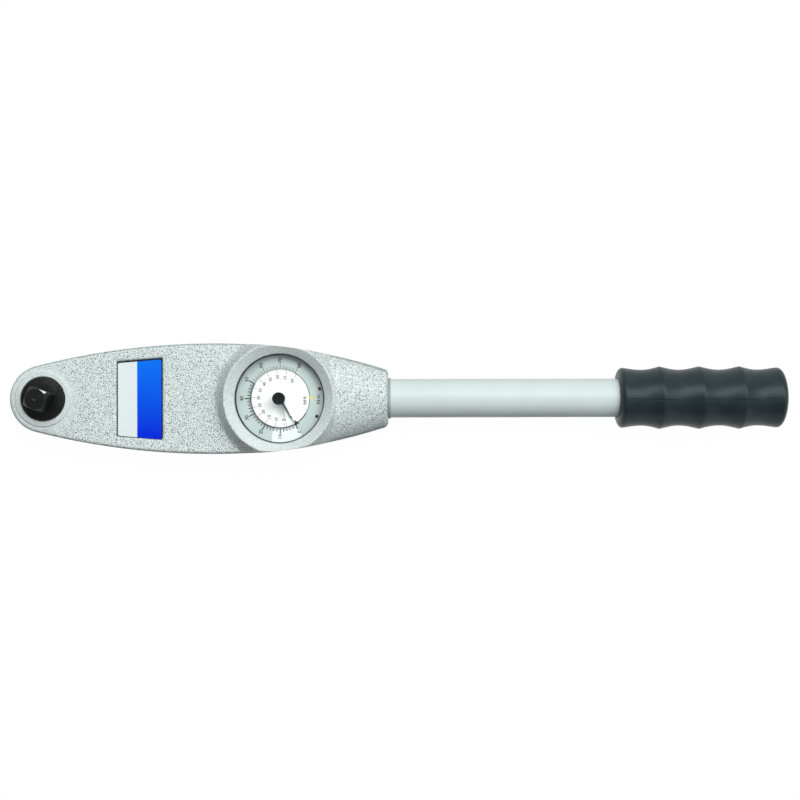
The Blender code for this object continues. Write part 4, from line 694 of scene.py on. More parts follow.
carve(casting, [drill(bush_bore, HEAD_CEILING - WALL, SHOULDER_TOP, (DRIVE_X, 0), FINE_TURN)])
print(f"dial opening {2 * OPENING:.1f} mm, shoulder bore {2 * bore:.1f} mm")


# %% Cut the plate's recess with a flared rim
def lofted(name, layers, at=(0, 0, 0)):
    """A solid through a stack of outlines, each with as many points, as (outline, height)."""
    count = len(layers[0][0])
    points = [(x, y, z) for ring, z in layers for x, y in ring]
    faces = [tuple(range(count)), tuple(range((len(layers) - 1) * count, len(layers) * count))]
    for k in range(len(layers) - 1):
        for i in range(count):
            j = (i + 1) % count
            faces.append((k * count + i, k * count + j, (k + 1) * count + j, (k + 1) * count + i))
    return put(name, mesh_from(name, points, faces), at)


plate_low, plate_high = box_mm("name_plate")
PLATE_FRONT_WIDTH = 46.4
PLATE_REAR_WIDTH = 50.6
PLATE_CORNER = 1.2
PLATE_CORNER_STEPS = 8
RECESS_FLOOR = plate_low.z - GAP


def plate_outline(inset):
    """The plate's trapezium with round corners, drawn in by an inset."""
    front = plate_low.x - GAP + inset
    rear = plate_high.x + GAP - inset
    half_front = PLATE_FRONT_WIDTH / 2 - inset
    half_rear = PLATE_REAR_WIDTH / 2 - inset
    r = PLATE_CORNER
    corners = [
        (rear - r, half_rear - r), (front + r, half_front - r),
        (front + r, r - half_front), (rear - r, r - half_rear),
    ]
    points = []
    for quarter, (x, y) in enumerate(corners):
        for k in range(PLATE_CORNER_STEPS + 1):
            angle = (quarter + k / PLATE_CORNER_STEPS) * math.pi / 2
            points.append((x + r * math.cos(angle), y + r * math.sin(angle)))
    return points


flare_line = [
    (0, RECESS_FLOOR), (0.05, FACE - 0.9), (0.35, FACE - 0.45), (0.85, FACE - 0.15), (1.5, FACE + 0.02),
    (1.6, FACE + 2),
]
flare = [(plate_outline(-out), height) for out, height in flare_line]
carve(casting, [lofted("plate_recess", flare)])
print(f"recess {FACE - RECESS_FLOOR:.1f} mm deep under the face")

# %% Hollow the casting
TUBE_IN_NECK = 25.9
MOUTH_CHAMFER = 0.8
CAVITY_END = DRIVE_TO_END - TUBE_IN_NECK
HEAD_END = BOSS_RADIUS + WALL
carve(casting, [plate("head_cavity", outline(WALL, end=HEAD_END + WALL), 0, HEAD_CEILING)])
carve(casting, [plate("main_cavity", outline(WALL, HEAD_END, CAVITY_END), 0, CEILING)])
bore = tube_high.y + GAP
tube_profile = [
    (0, CAVITY_END - WALL), (bore, CAVITY_END - WALL), (bore, DRIVE_TO_END - MOUTH_CHAMFER),
    (bore + MOUTH_CHAMFER, DRIVE_TO_END), (bore + MOUTH_CHAMFER, DRIVE_TO_END + WALL),
    (0, DRIVE_TO_END + WALL),
]
carve(casting, [turned("tube_bore", tube_profile, (DRIVE_X, 0, HANDLE_HEIGHT), FINE_TURN, "x")])
print(f"hollow up to {CAVITY_END:.1f} mm behind the drive, tube bore {2 * bore:.1f} mm")

# %% [markdown]
# The cover's screws stand in posts, of which the four at the wide part show as a full round. All
# the holes are then drilled in one cut, each where the frame has its screw or pin.

# %% Raise the posts and drill the holes
POST_RADIUS = 4.0
POST_COUNT = 4
COVER_HOLE = 1.7
MOVEMENT_HOLE = 1.3
DIAL_HOLE = 0.7
ANCHOR_HOLE = 2.3
PIN_HOLE = 2.6


def centre_of(node_name):
    """The middle of a piece of the frame in the plan."""
    low, high = box_mm(node_name)
    return (low.x + high.x) / 2, (low.y + high.y) / 2


screw_places = [centre_of(f"cover_screw_{i}") for i in range(1, 7)]
screw_low, screw_high = box_mm("cover_screw_1")
posts = [
    drill(POST_RADIUS, SHELL_BOTTOM + 0.05, CEILING + 1.5, place)
    for place in screw_places[:POST_COUNT]
]
carve(casting, posts, "UNION")
holes = [drill(COVER_HOLE, 0, screw_high.z + GAP, place) for place in screw_places]
for kind, count, radius, bottom, top in (
    ("movement_screw", 3, MOVEMENT_HOLE, CEILING - WALL, CEILING + 2.7),
    ("dial_screw", 2, DIAL_HOLE, dial_high.z - 2.8, LEDGE_TOP + 1.5),
    ("anchor_screw", 2, ANCHOR_HOLE, CEILING - WALL, CEILING + 5.3),
):
    for i in range(1, count + 1):
        holes.append(drill(radius, bottom, top, centre_of(f"{kind}_{i}")))
holes.append(drill(PIN_HOLE, 0, tube_high.z + GAP, centre_of("tube_pin")))
print(len(posts), "posts and", len(holes), "holes")
carve(casting, holes)
fit(casting, "housing", SILVER, ["housing_shell"], 38)

# %% [markdown]
# ## The back cover
# The cover closes the housing from below and wears the same paint. Its lower edge is rounded, so
# it is drawn as a stack of outlines that step in along a quarter circle. Six screws sit in
# counterbores, and the rear bush in a boss round the drive axis.

# %% Make the cover
COVER = 2.7
COVER_EDGE = 0.9
COVER_EDGE_STEPS = 5
COVER_BOSS = 14.7
REAR_BUSH_BORE = 12.0
SEAT_RADIUS = 3.0
SEAT_HEIGHT = 1.9
bush_low, bush_high = box_mm("rear_bush")


def rim_points(inset):
    """The whole outline drawn in by an inset, with the same number of points for any inset."""
    arcs = [
        (0, 0, HEAD_RADIUS, math.pi, head_tangent, 40),
        (DRIVE_TO_WIDEST, side_centre_y, side_radius, head_tangent, math.pi / 2, 110),
        (neck_centre_x, neck_centre_y, NECK_RADIUS, math.pi / 2, corner_start, 110),
        (corner_x, corner_y, CORNER_RADIUS, corner_start, 0, 10),
    ]
    half = []
    for x, y, radius, start, end, steps in arcs:
        for k in range(steps + 1):
            angle = start + (end - start) * k / steps
            r = radius - inset
            half.append((DRIVE_X + x + r * math.cos(angle), y + r * math.sin(angle)))
    return half[1:] + [(x, -y) for x, y in reversed(half)]


layers = []
for k in range(COVER_EDGE_STEPS + 1):
    turn = math.pi / 2 * k / COVER_EDGE_STEPS
    layers.append((rim_points(COVER_EDGE * (1 - math.sin(turn))), COVER_EDGE * (1 - math.cos(turn))))
layers.append((rim_points(0), COVER))
cover = lofted("cover_casting", layers)
carve(cover, [drill(COVER_BOSS, COVER / 2, bush_high.z, (DRIVE_X, 0), FINE_TURN)], "UNION")
mouth = [
    (0, 12), (REAR_BUSH_BORE, 12), (REAR_BUSH_BORE, 0.5), (REAR_BUSH_BORE + 0.6, -0.1),
    (REAR_BUSH_BORE + 0.6, -2), (0, -2),
]
carve(cover, [turned("rear_bore", mouth, (DRIVE_X, 0, 0))])
seats = []
for x, y in screw_places:
    seat_floor = screw_low.z + SEAT_HEIGHT
    seat = [
        (0, 6), (COVER_HOLE, 6), (COVER_HOLE, seat_floor), (SEAT_RADIUS, seat_floor),
        (SEAT_RADIUS, 0.3), (SEAT_RADIUS + 0.3, -0.1), (SEAT_RADIUS + 0.3, -2), (0, -2),
    ]
    seats.append(turned("seat", seat, (x, y, 0), SMALL_TURN))
carve(cover, seats)
fit(cover, "housing", SILVER, ["back_cover"], 38)

# %% [markdown]
# ## Steel, bronze and brass
# The bare metals share the common recipe with a low grain. What sets them apart is their colour
# and how far their roughness drifts: bronze for a bush is pressed from powder and stays matt.

# %% Mix the bare metals
STEEL = common_finish(
    "bright_steel", (0.50, 0.51, 0.52), (0.62, 0.63, 0.64), (0.22, 0.36), 0.5, 0.01, metallic=1.0
)
SPRING_STEEL = common_finish(
    "spring_steel", (0.30, 0.32, 0.35), (0.42, 0.44, 0.47), (0.25, 0.4), 0.4, 0.01, metallic=1.0
)
BRASS = common_finish(
    "brass", (0.72, 0.53, 0.24), (0.84, 0.66, 0.35), (0.25, 0.4), 0.6, 0.01, metallic=1.0
)
BRONZE = common_finish(
    "sintered_bronze", (0.45, 0.28, 0.15), (0.60, 0.40, 0.23), (0.4, 0.55), 0.35, 0.03, metallic=1.0
)
print("bare metals:", [metal.name for metal in (STEEL, SPRING_STEEL, BRASS, BRONZE)])

# %% [markdown]
# ## Black oxide
# Black oxide is a thin dark skin on turned steel, so the lathe's rings still show through it: a
# noise along the radius alone makes them. One corner of the square is painted bright bare steel, a
# painted glint, within a reach of one point and outside the square's turned end.

# %% Mix the black oxide
RING_PITCH = 0.9
GLINT_TURN = math.radians(48)
GLINT_RADIUS = 7.3
GLINT_REACH = 2.6
GLINT_FADE = 0.8
GLINT_FROM = 6.15
GLINT_FULL = 6.35
GLINT_STEEL = (0.93, 0.96, 0.96)
DRIVE_OXIDE, tree, shader = new_finish("drive_black_oxide", specular_ior_level=0.36)
spot = place_mm(tree)
in_plan = node(tree, "VectorMath", {0: spot, 1: (1, 1, 0)}, operation="MULTIPLY")
radius = node(tree, "VectorMath", {0: in_plan.outputs[0]}, operation="LENGTH").outputs["Value"]
turns = node(tree, "Math", {0: radius, 1: RING_PITCH}, operation="DIVIDE")
rings = node(
    tree, "TexNoise", {"W": turns.outputs[0], "Scale": 1.0, "Detail": 2.0}, noise_dimensions="1D"
)
base = tones(tree, shader, (0.003, 0.004, 0.004), (0.009, 0.011, 0.011), 4.0)
# The bright steel patch at one corner is a painted glint.
glint_middle = (
    GLINT_RADIUS * math.cos(GLINT_TURN), GLINT_RADIUS * math.sin(GLINT_TURN), spindle_high.z - 1.0
)
from_glint = node(tree, "VectorMath", {0: spot, 1: glint_middle}, operation="DISTANCE")
near_glint = node(
    tree, "MapRange",
    {0: from_glint.outputs["Value"], 1: GLINT_REACH, 2: GLINT_REACH - GLINT_FADE, 3: 0.0, 4: 1.0},
)
outside_end = node(tree, "MapRange", {0: radius, 1: GLINT_FROM, 2: GLINT_FULL, 3: 0.0, 4: 1.0})
glint = node(tree, "Math", {0: near_glint.outputs[0], 1: outside_end.outputs[0]}, operation="MULTIPLY")
bright = blend_colours(tree, glint.outputs[0], base.outputs[2], GLINT_STEEL)
tree.links.new(bright.outputs[2], shader.inputs["Base Color"])
tree.links.new(glint.outputs[0], shader.inputs["Metallic"])
drift(tree, shader, 0.22, 0.32, 3.0)
bump(tree, shader, rings.outputs["Fac"], 0.06, 0.6)
SCREW_OXIDE = common_finish(
    "screw_black_oxide", (0.02, 0.021, 0.023), (0.05, 0.052, 0.055), (0.3, 0.45), 0.3, 0.02,
    metallic=0.6,
)
print(f"worn round {glint_middle[0]:.1f}, {glint_middle[1]:.1f} mm from the drive axis")

# %% [markdown]
# ## The drive
# One turned spindle carries the square that takes the sockets. Its shoulder fills the boss, the
# square stands on it a little turned, and a second turning takes the square's corners and leaves
# a round end with a centre mark from the lathe. The square is cut from a bar and then turned, as
# in the workshop: a bar and a turned limit, of which only the common part stays.

# %% Turn the spindle and its square
SQUARE = 12.7
SQUARE_TURN = math.radians(-21)
SQUARE_END = 6.1
SQUARE_CORNER = 8.3
SPINDLE_RADIUS = 9.5
GROOVE_RADIUS = 8.6
SHOULDER_FALL = 0.7
SHOULDER_BEVEL = (0.55, 0.5)
EDGE_BEVEL = 0.25
ring_low, ring_high = box_mm("retaining_ring")
groove_top = ring_high.z + 0.1
groove_bottom = ring_low.z - 0.1
shoulder_rim = SHOULDER_TOP - SHOULDER_FALL
spindle_profile = soften(
    [
        (0, SHOULDER_TOP), (SQUARE_CORNER, SHOULDER_TOP),
        (SHOULDER_RADIUS - SHOULDER_BEVEL[0], shoulder_rim, 0.12),
        (SHOULDER_RADIUS, shoulder_rim - SHOULDER_BEVEL[1], 0.12), (SHOULDER_RADIUS, SHOULDER_BOTTOM),
        (SPINDLE_RADIUS, SHOULDER_BOTTOM), (SPINDLE_RADIUS, groove_top), (GROOVE_RADIUS, groove_top),
        (GROOVE_RADIUS, groove_bottom), (SPINDLE_RADIUS, groove_bottom),
        (SPINDLE_RADIUS - 0.1, spindle_low.z), (0, spindle_low.z),
    ]
)
spindle = turned("drive_turning", spindle_profile, (DRIVE_X, 0, 0), 2 * FINE_TURN)
half = SQUARE / 2
corner = SQUARE / 2 - EDGE_BEVEL
bar = [(half, -corner), (half, corner), (corner, half), (-corner, half)]
bar += [(-half, corner), (-half, -corner), (-corner, -half), (corner, -half)]
cosine, sine = math.cos(SQUARE_TURN), math.sin(SQUARE_TURN)
bar = [(x * cosine - y * sine, x * sine + y * cosine) for x, y in bar]
square = plate("square", bar, SHOULDER_BOTTOM + 0.2, spindle_high.z, (DRIVE_X, 0, 0))
limit_profile = soften(
    [
        (0, spindle_high.z), (SQUARE_END, spindle_high.z, 0.25),
        (SQUARE_CORNER, spindle_high.z - SQUARE_CORNER + SQUARE_END, 0.5),
        (SQUARE_CORNER, SHOULDER_BOTTOM), (0, SHOULDER_BOTTOM),
    ]
)
carve(square, [turned("limit", limit_profile, (DRIVE_X, 0, 0), 2 * FINE_TURN)], "INTERSECT")
carve(spindle, [square], "UNION")

# %% Cut the undercut round the square and its centre mark
UNDERCUT = (8.9, 9.6)
UNDERCUT_DEPTH = 0.25
DIMPLE_RADIUS = 1.25
DIMPLE_DEPTH = 1.2
inner, outer = UNDERCUT
undercut = [
    (outer, SHOULDER_TOP + 0.3), (outer, SHOULDER_TOP - UNDERCUT_DEPTH),
    (inner, SHOULDER_TOP - UNDERCUT_DEPTH), (inner, SHOULDER_TOP + 0.3),
]
carve(spindle, [turned("undercut", undercut, (DRIVE_X, 0, 0), FINE_TURN, ring=True)])
top = spindle_high.z
dimple = [
    (0, top + 1), (DIMPLE_RADIUS + 0.25, top + 1), (DIMPLE_RADIUS + 0.25, top + 0.1),
    (DIMPLE_RADIUS, top - 0.1), (0, top - DIMPLE_DEPTH),
]
carve(spindle, [turned("dimple", dimple, (DRIVE_X, 0, 0), SMALL_TURN)])
fit(spindle, "drive", DRIVE_OXIDE, ["drive_spindle"], 25)

# %% [markdown]
# The rear bush, the retaining ring and the six cover screws show on the back. The screws are
# alike, so one turned screw with a hexagon socket is made once and its mesh shared by all six.

# %% Make the pieces that show on the back
bush_radius = (bush_high.x - bush_low.x) / 2
bush_profile = soften(
    [
        (SPINDLE_RADIUS + 0.1, bush_low.z + 0.3), (SPINDLE_RADIUS + 0.4, bush_low.z),
        (bush_radius - 0.3, bush_low.z), (bush_radius, bush_low.z + 0.3),
        (bush_radius, bush_high.z), (SPINDLE_RADIUS + 0.1, bush_high.z),
    ]
)
rear_bush = turned("rear_bush_turning", bush_profile, (DRIVE_X, 0, 0), FINE_TURN, ring=True)
fit(rear_bush, "housing", BRONZE, ["rear_bush"])

ring_outer = 11.5
ring_bore = 8.75
ring_gap = math.radians(20)
arc_steps = 90
ring_outline = []
for radius, start, end in (
    (ring_outer, ring_gap, math.tau - ring_gap), (ring_bore, math.tau - ring_gap, ring_gap)
):
    for k in range(arc_steps + 1):
        angle = start + (end - start) * k / arc_steps
        ring_outline.append((radius * math.cos(angle), radius * math.sin(angle)))
clip = plate("retaining_clip", ring_outline, ring_low.z, ring_high.z, (DRIVE_X, 0, 0))
clip_edge = clip.modifiers.new("edge", "BEVEL")
clip_edge.width = 0.12 * MM
clip_edge.segments = 2
fit(clip, "drive", SPRING_STEEL, ["retaining_ring"])


def socket_screw(name, head_radius, shank_radius, low, high, head_height):
    """A screw standing on its head, with a hexagon socket in the head's face."""
    profile = soften(
        [
            (0, low), (head_radius, low, 0.3), (head_radius, low + head_height),
            (shank_radius, low + head_height), (shank_radius, high - 0.5), (shank_radius - 0.5, high),
            (0, high),
        ]
    )
    screw = turned(name, profile, steps=SMALL_TURN)
    across = head_radius * 0.58
    hexagon = [(across * math.cos(a), across * math.sin(a)) for a in np.arange(6) * math.pi / 3]
    depth = head_height * 0.6
    wide = [(x * 1.12, y * 1.12) for x, y in hexagon]
    layers = [(wide, low - 0.5), (wide, low), (hexagon, low + 0.15), (hexagon, low + depth)]
    carve(screw, [lofted("socket", layers)])
    return screw


first_screw = socket_screw("cap_screw_1", 2.7, 1.35, screw_low.z, screw_high.z, 1.6)
for index, place in enumerate(screw_places, 1):
    screw = first_screw if index == 1 else put(f"cap_screw_{index}", first_screw.data)
    screw.location = Vector((*place, 0)) * MM
    fit(screw, "housing", STEEL, [f"cover_screw_{index}"])

# %% [markdown]
# ## The dial
# The dial is a white printed disc. Its middle is left bright, and the zone outside the scale's
# circle is a pale grey green, lighter where the scale begins: that patch is a painted reflection of a
# light in the window. All three are colours of one material on a flat plate, with distances as the
# masks. The figures, ticks and lines are ink that stands a little proud, made as real thin shapes,
# because a crisp figure is hard to draw with nodes.

# %% Make the dial plate
SCALE_RADIUS = 18.2
REFLECTION_SPOT = (4.0, -24.0)
REFLECTION_REACH = 9.5
DIAL_WHITE = (0.83, 0.865, 0.86)
DIAL_GREY = (0.44, 0.53, 0.52)
REFLECTION_GREY = (0.73, 0.80, 0.79)
dial_paint, tree, shader = new_finish("dial_white", specular_ior_level=0.4, roughness=0.45)
from_hub = node(
    tree, "VectorMath", {0: place_mm(tree), 1: (0, 0, dial_high.z)}, operation="SUBTRACT"
)
reach = node(tree, "VectorMath", {0: from_hub.outputs[0]}, operation="LENGTH")
zone = node(tree, "MapRange", {0: reach.outputs["Value"], 1: SCALE_RADIUS, 2: SCALE_RADIUS + 0.1})
# The lighter patch near the scale's start is a painted reflection in the window.
aside = node(tree, "VectorMath", {0: place_mm(tree), 1: (*REFLECTION_SPOT, dial_high.z)}, operation="DISTANCE")
reflection_share = node(
    tree, "MapRange",
    {0: aside.outputs["Value"], 1: REFLECTION_REACH, 2: REFLECTION_REACH - 0.6, 3: 0.0, 4: 1.0},
)
rim_zone = blend_colours(tree, reflection_share.outputs[0], DIAL_GREY, REFLECTION_GREY)
ground = blend_colours(tree, zone.outputs[0], DIAL_WHITE, rim_zone.outputs[2])
tree.links.new(ground.outputs[2], shader.inputs["Base Color"])
drift(tree, shader, 0.38, 0.5, 8.0)
height = node(tree, "Group", {"Size": 0.25, "Detail": 3.0}, node_tree=GRAIN)
bump(tree, shader, height.outputs["Height"], 0.01)
dial_radius = (dial_high.x - dial_low.x) / 2
dial_profile = [
    (1.2, dial_high.z), (dial_radius - 0.1, dial_high.z), (dial_radius, dial_high.z - 0.1),
    (dial_radius, dial_low.z), (1.2, dial_low.z),
]
dial_face = turned("dial_disc", dial_profile, (DIAL_X, 0, 0), 2 * FINE_TURN, ring=True)
fit(dial_face, "housing", dial_paint, ["dial_plate"])


# %% Draw the scales in thin ink
INK_HEIGHT = 0.03
ZERO_ANGLE = 300.0
NM_STEP = 3.0
FOOT_POUND_STEP = 4.067
BOLD_FROM = 150.0
FINE_SHARE = 0.45
TEN_TICK = (22.0, 0.75)
EVEN_TICK = (20.5, 0.62)
ODD_TICK = (19.8, 0.3)
ink_shape = bmesh.new()


def ink(points):
    """Adds one flat inked shape, given round the dial's centre in millimetres."""
    corners = [ink_shape.verts.new(Vector((x, y, 0)) * MM) for x, y in points]
    ink_shape.faces.new(corners)


def polar(radius, degrees):
    """A place on the dial, at a radius and an angle."""
    angle = math.radians(degrees)
    return radius * math.cos(angle), radius * math.sin(angle)


def ink_arc(inner, outer, start, end, step=3.0):
    """A curved line between two angles, as short flat pieces that share their ends."""
    count = max(1, round(abs(end - start) / step))
    for k in range(count):
        a = start + (end - start) * k / count
        b = start + (end - start) * (k + 1) / count
        ink([polar(inner, a), polar(outer, a), polar(outer, b), polar(inner, b)])


def ink_tick(inner, outer, degrees, width):
    """A straight tick along a radius."""
    angle = math.radians(degrees)
    across = Vector((-math.sin(angle), math.cos(angle))) * width / 2
    along = Vector((math.cos(angle), math.sin(angle)))
    near, far = along * inner, along * outer
    ink([tuple(near - across), tuple(far - across), tuple(far + across), tuple(near + across)])


ink_arc(SCALE_RADIUS - 0.38, SCALE_RADIUS + 0.38, BOLD_FROM, 330)
ink_arc(SCALE_RADIUS - 0.14, SCALE_RADIUS + 0.14, 60, BOLD_FROM)
ink_arc(SCALE_RADIUS - 0.22, SCALE_RADIUS + 0.22, -30, 60)
for value in range(0, 81):
    angle = ZERO_ANGLE - value * NM_STEP
    reach_out, width = TEN_TICK if value % 10 == 0 else ODD_TICK if value % 2 else EVEN_TICK
    if angle < BOLD_FROM:
        width *= FINE_SHARE
    ink_tick(SCALE_RADIUS, reach_out, angle, width)
for value in range(0, 61):
    reach_in = 15.4 if value % 5 == 0 else 17.0
    width = 0.3 if value % 5 == 0 else 0.2
    ink_tick(reach_in, SCALE_RADIUS, ZERO_ANGLE - value * FOOT_POUND_STEP, width)
ink([polar(15.8, 303.5), polar(19.3, 298.9), polar(19.3, 308.1)])


# %% Set the figures, upright to someone who holds the handle
STROKE = 0.018
NM_FIGURES = (23.7, 3.1)
FOOT_POUND_FIGURES = (13.3, 2.7)


def ink_text(words, x, y, size):
    """Sets a word with its top towards the drive and adds it to the ink."""
    curve = bpy.data.curves.new("figure", "FONT")
    curve.body = words
    curve.size = size
    curve.align_x = "CENTER"
    curve.align_y = "CENTER"
    curve.resolution_u = 3
    curve.offset = STROKE * size
    holder = bpy.data.objects.new("figure", curve)
    bpy.context.scene.collection.objects.link(holder)
    mesh = bpy.data.meshes.new_from_object(
        holder.evaluated_get(bpy.context.evaluated_depsgraph_get())
    )
    bpy.data.objects.remove(holder)
    mesh.transform(
        Matrix.Translation(Vector((x, y, 0)) * MM)
        @ Matrix.Rotation(math.pi / 2, 4, "Z")
        @ Matrix.Scale(MM, 4)
    )
    ink_shape.from_mesh(mesh)
    bpy.data.meshes.remove(mesh)


for value in range(0, 81, 10):
    ink_text(str(value), *polar(NM_FIGURES[0], ZERO_ANGLE - value * NM_STEP), NM_FIGURES[1])
for value in range(0, 61, 5):
    place = polar(FOOT_POUND_FIGURES[0], ZERO_ANGLE - value * FOOT_POUND_STEP)
    ink_text(str(value), *place, FOOT_POUND_FIGURES[1])
ink_text("N·m", 23.6, -0.6, 3.3)
ink_text("lbf·ft", 15.3, -1.2, 2.9)

INK = common_finish("black_ink", (0.012, 0.014, 0.014), (0.03, 0.034, 0.034), (0.4, 0.5), 0.3, 0.01)
ink_mesh = bpy.data.meshes.new("dial_ink")
bmesh.ops.remove_doubles(ink_shape, verts=ink_shape.verts, dist=1e-8)
bmesh.ops.recalc_face_normals(ink_shape, faces=ink_shape.faces)
for face in ink_shape.faces:
    if face.normal.z < 0:
        face.normal_flip()
ink_shape.to_mesh(ink_mesh)
ink_shape.free()
ink_piece = put("dial_ink", ink_mesh, (DIAL_X, 0, dial_high.z + INK_HEIGHT + 0.01))
thick = ink_piece.modifiers.new("thickness", "SOLIDIFY")
thick.thickness = INK_HEIGHT * MM
fit(ink_piece, "housing", INK)

# %% [markdown]
# A plain yellow spot marks the gap between the scale's ends, and two dark screws hold the dial.

# %% Add the spot and the dial's screws
YELLOW = common_finish("yellow_spot", (0.55, 0.52, 0.12), (0.68, 0.66, 0.22), (0.4, 0.5), 0.3, 0.01)
spot_profile = [(0, 0.08), (1.15, 0.08), (1.3, 0.0), (0, 0.0)]
spot = turned("scale_spot", spot_profile, (DIAL_X + 19.2, 0.6, dial_high.z + 0.05), SMALL_TURN)
fit(spot, "housing", YELLOW)
for index in (1, 2):
    low, high = box_mm(f"dial_screw_{index}")
    head = 1.0
    profile = soften(
        [
            (0, high.z), (head, high.z, 0.25), (head, high.z - 0.6), (0.6, high.z - 0.6),
            (0.6, low.z), (0, low.z),
        ]
    )
    screw = turned(f"window_screw_{index}", profile, (*centre_of(f"dial_screw_{index}"), 0), SMALL_TURN)
    slot_outline = [(-1.2, -0.15), (1.2, -0.15), (1.2, 0.15), (-1.2, 0.15)]
    slot = plate("slot", slot_outline, high.z - 0.3, high.z + 0.3)
    slot.rotation_euler.z = math.radians(40 + 55 * index)
    slot.location = screw.location
    bpy.context.view_layer.update()
    carve(screw, [slot])
    fit(screw, "housing", SCREW_OXIDE, [f"dial_screw_{index}"])

# %% [markdown]
# ## Window, spacer, bezel and needles
# The window is a clear disc on a black spacer, held by a black ring. Clear plastic needs real
# thickness and round edges to catch the light, so it is a turned ring too. A shadow ray passes
# straight through it, which keeps the dial underneath as bright as it would be behind glass.

# %% Mix the plastics and the clear window
BLACK_PLASTIC = common_finish(
    "black_plastic", (0.008, 0.010, 0.011), (0.016, 0.020, 0.021), (0.4, 0.52), 0.25, 0.03,
    specular_ior_level=0.16,
)
CLEAR, tree, shader = new_finish(
    "clear_window", base_color=(0.99, 1.0, 0.995), roughness=0.03, ior=1.45, transmission_weight=1.0
)
path = node(tree, "LightPath")
through = node(tree, "BsdfTransparent", {"Color": (0.98, 0.99, 0.985, 1)})
window_mix = node(tree, "MixShader", {0: path.outputs["Is Shadow Ray"]})
tree.links.new(shader.outputs[0], window_mix.inputs[1])
tree.links.new(through.outputs[0], window_mix.inputs[2])
tree.links.new(window_mix.outputs[0], tree.nodes["Material Output"].inputs[0])
smear = node(tree, "Group", {"Size": 6.0, "Low": 0.015, "High": 0.05}, node_tree=PATCHES)
tree.links.new(smear.outputs["Value"], shader.inputs["Roughness"])
print("finishes so far:", len(bpy.data.materials))

# %% Turn the window, its spacer and its bezel
lens_radius = lens_high.y
lens_profile = soften(
    [
        (2.5, lens_high.z), (lens_radius, lens_high.z, 0.25), (lens_radius, lens_low.z, 0.15),
        (2.5, lens_low.z), (2.5, lens_high.z - 0.2),
    ]
)
window = turned("window_disc", lens_profile, (DIAL_X, 0, 0), FINE_TURN, ring=True)
fit(window, "housing", CLEAR, ["lens"])
for name, node_name, inner in (("window_spacer", "dial_spacer", 27.0), ("window_bezel", "bezel", 27.0)):
    low, high = box_mm(node_name)
    outer = high.y
    corners = [
        (inner, high.z - 0.2), (inner + 0.2, high.z), (outer - 0.25, high.z), (outer, high.z - 0.25),
        (outer, low.z), (inner, low.z),
    ]
    band = turned(name, corners, (DIAL_X, 0, 0), FINE_TURN, ring=True)
    fit(band, "housing", BLACK_PLASTIC, [node_name], 50)

# %% Cut the two needles
def needle_outline(length, tail, width):
    """A needle along +X that tapers to a blunt tip, with a round boss at its axis."""
    half = width / 2
    boss = 1.8
    spread = math.asin(half / boss)
    points = [(length, -half / 4), (length + half / 3, 0), (length, half / 4)]
    for k in range(13):
        angle = spread + (math.pi - 2 * spread) * k / 12
        points.append((boss * math.cos(angle), boss * math.sin(angle)))
    points += [(-tail, half), (-tail, -half)]
    for k in range(13):
        angle = math.pi + spread + (math.pi - 2 * spread) * k / 12
        points.append((boss * math.cos(angle), boss * math.sin(angle)))
    return points


NEEDLE_DARK = common_finish(
    "needle_lacquer", (0.022, 0.055, 0.048), (0.045, 0.09, 0.08), (0.3, 0.4), 0.3, 0.01,
    specular_ior_level=0.4,
)
NEEDLE_GREY = common_finish(
    "needle_steel", (0.24, 0.29, 0.27), (0.34, 0.40, 0.38), (0.3, 0.42), 0.3, 0.01, metallic=0.4
)
for name, node_name, body, slot, paint, sizes, degrees in (
    ("main_needle", "pointer", "main_pointer", "black_plastic", NEEDLE_DARK, (17.4, 4.0, 1.4), 300),
    ("memory_needle", "memory_pointer", "memory", "spring_steel", NEEDLE_GREY, (16.8, 4.0, 0.8), 285),
):
    low, high = box_mm(node_name)
    needle = plate(name, needle_outline(*sizes), low.z, high.z, (DIAL_X, 0, 0))
    carve(needle, [drill(0.9, low.z - 1, high.z + 1, (DIAL_X, 0))])
    needle.data.transform(Matrix.Rotation(math.radians(degrees), 4, "Z"))
    edge = needle.modifiers.new("edge", "BEVEL")
    edge.width = 0.06 * MM
    edge.segments = 2
    edge.angle_limit = math.radians(50)
    fit(needle, body, paint, [node_name])


# %% Turn the reset knob and its collar
FLUTES = 48
FLUTE_DEPTH = 0.14
knob_low, knob_high = box_mm("reset_knob")
knob_radius = knob_high.y
collar_low, collar_high = box_mm("knob_bush")
KNOB_BOTTOM = collar_high.z + GAP
knob_profile = soften(
    [
        (0, knob_high.z - 0.12), (knob_radius - 1.1, knob_high.z - 0.1, 0.5),
        (knob_radius - 0.8, knob_high.z, 0.2),
        (knob_radius - 0.45, knob_high.z, 0.3), (knob_radius, knob_high.z - 0.5, 0.2),
        (knob_radius, KNOB_BOTTOM + 0.3, 0.2), (knob_radius - 0.3, KNOB_BOTTOM), (1.2, KNOB_BOTTOM),
        (1.2, knob_low.z + 0.5), (0.8, knob_low.z + 0.5), (0.8, knob_low.z), (0, knob_low.z),
    ]
)
knob = turned("reset_knob_turning", knob_profile, (DIAL_X, 0, 0), 4 * SMALL_TURN)
for vertex in knob.data.vertices:
    radius = math.hypot(vertex.co.x, vertex.co.y) / MM
    if radius > knob_radius - 0.1 and vertex.co.z / MM < knob_high.z - 0.6:
        wave = 0.5 - 0.5 * math.cos(FLUTES * math.atan2(vertex.co.y, vertex.co.x))
        vertex.co.xy *= 1 - FLUTE_DEPTH * wave / radius
fit(knob, "memory", BLACK_PLASTIC, ["reset_knob"])
collar_profile = soften(
    [
        (1.3, collar_high.z), (collar_high.y, collar_high.z, 0.15),
        (collar_high.y, collar_high.z - 0.75), (2.4, collar_high.z - 0.75), (2.4, collar_low.z),
        (1.3, collar_low.z), (1.3, collar_high.z - 0.1),
    ]
)
collar = turned("knob_collar", collar_profile, (DIAL_X, 0, 0), SMALL_TURN, ring=True)
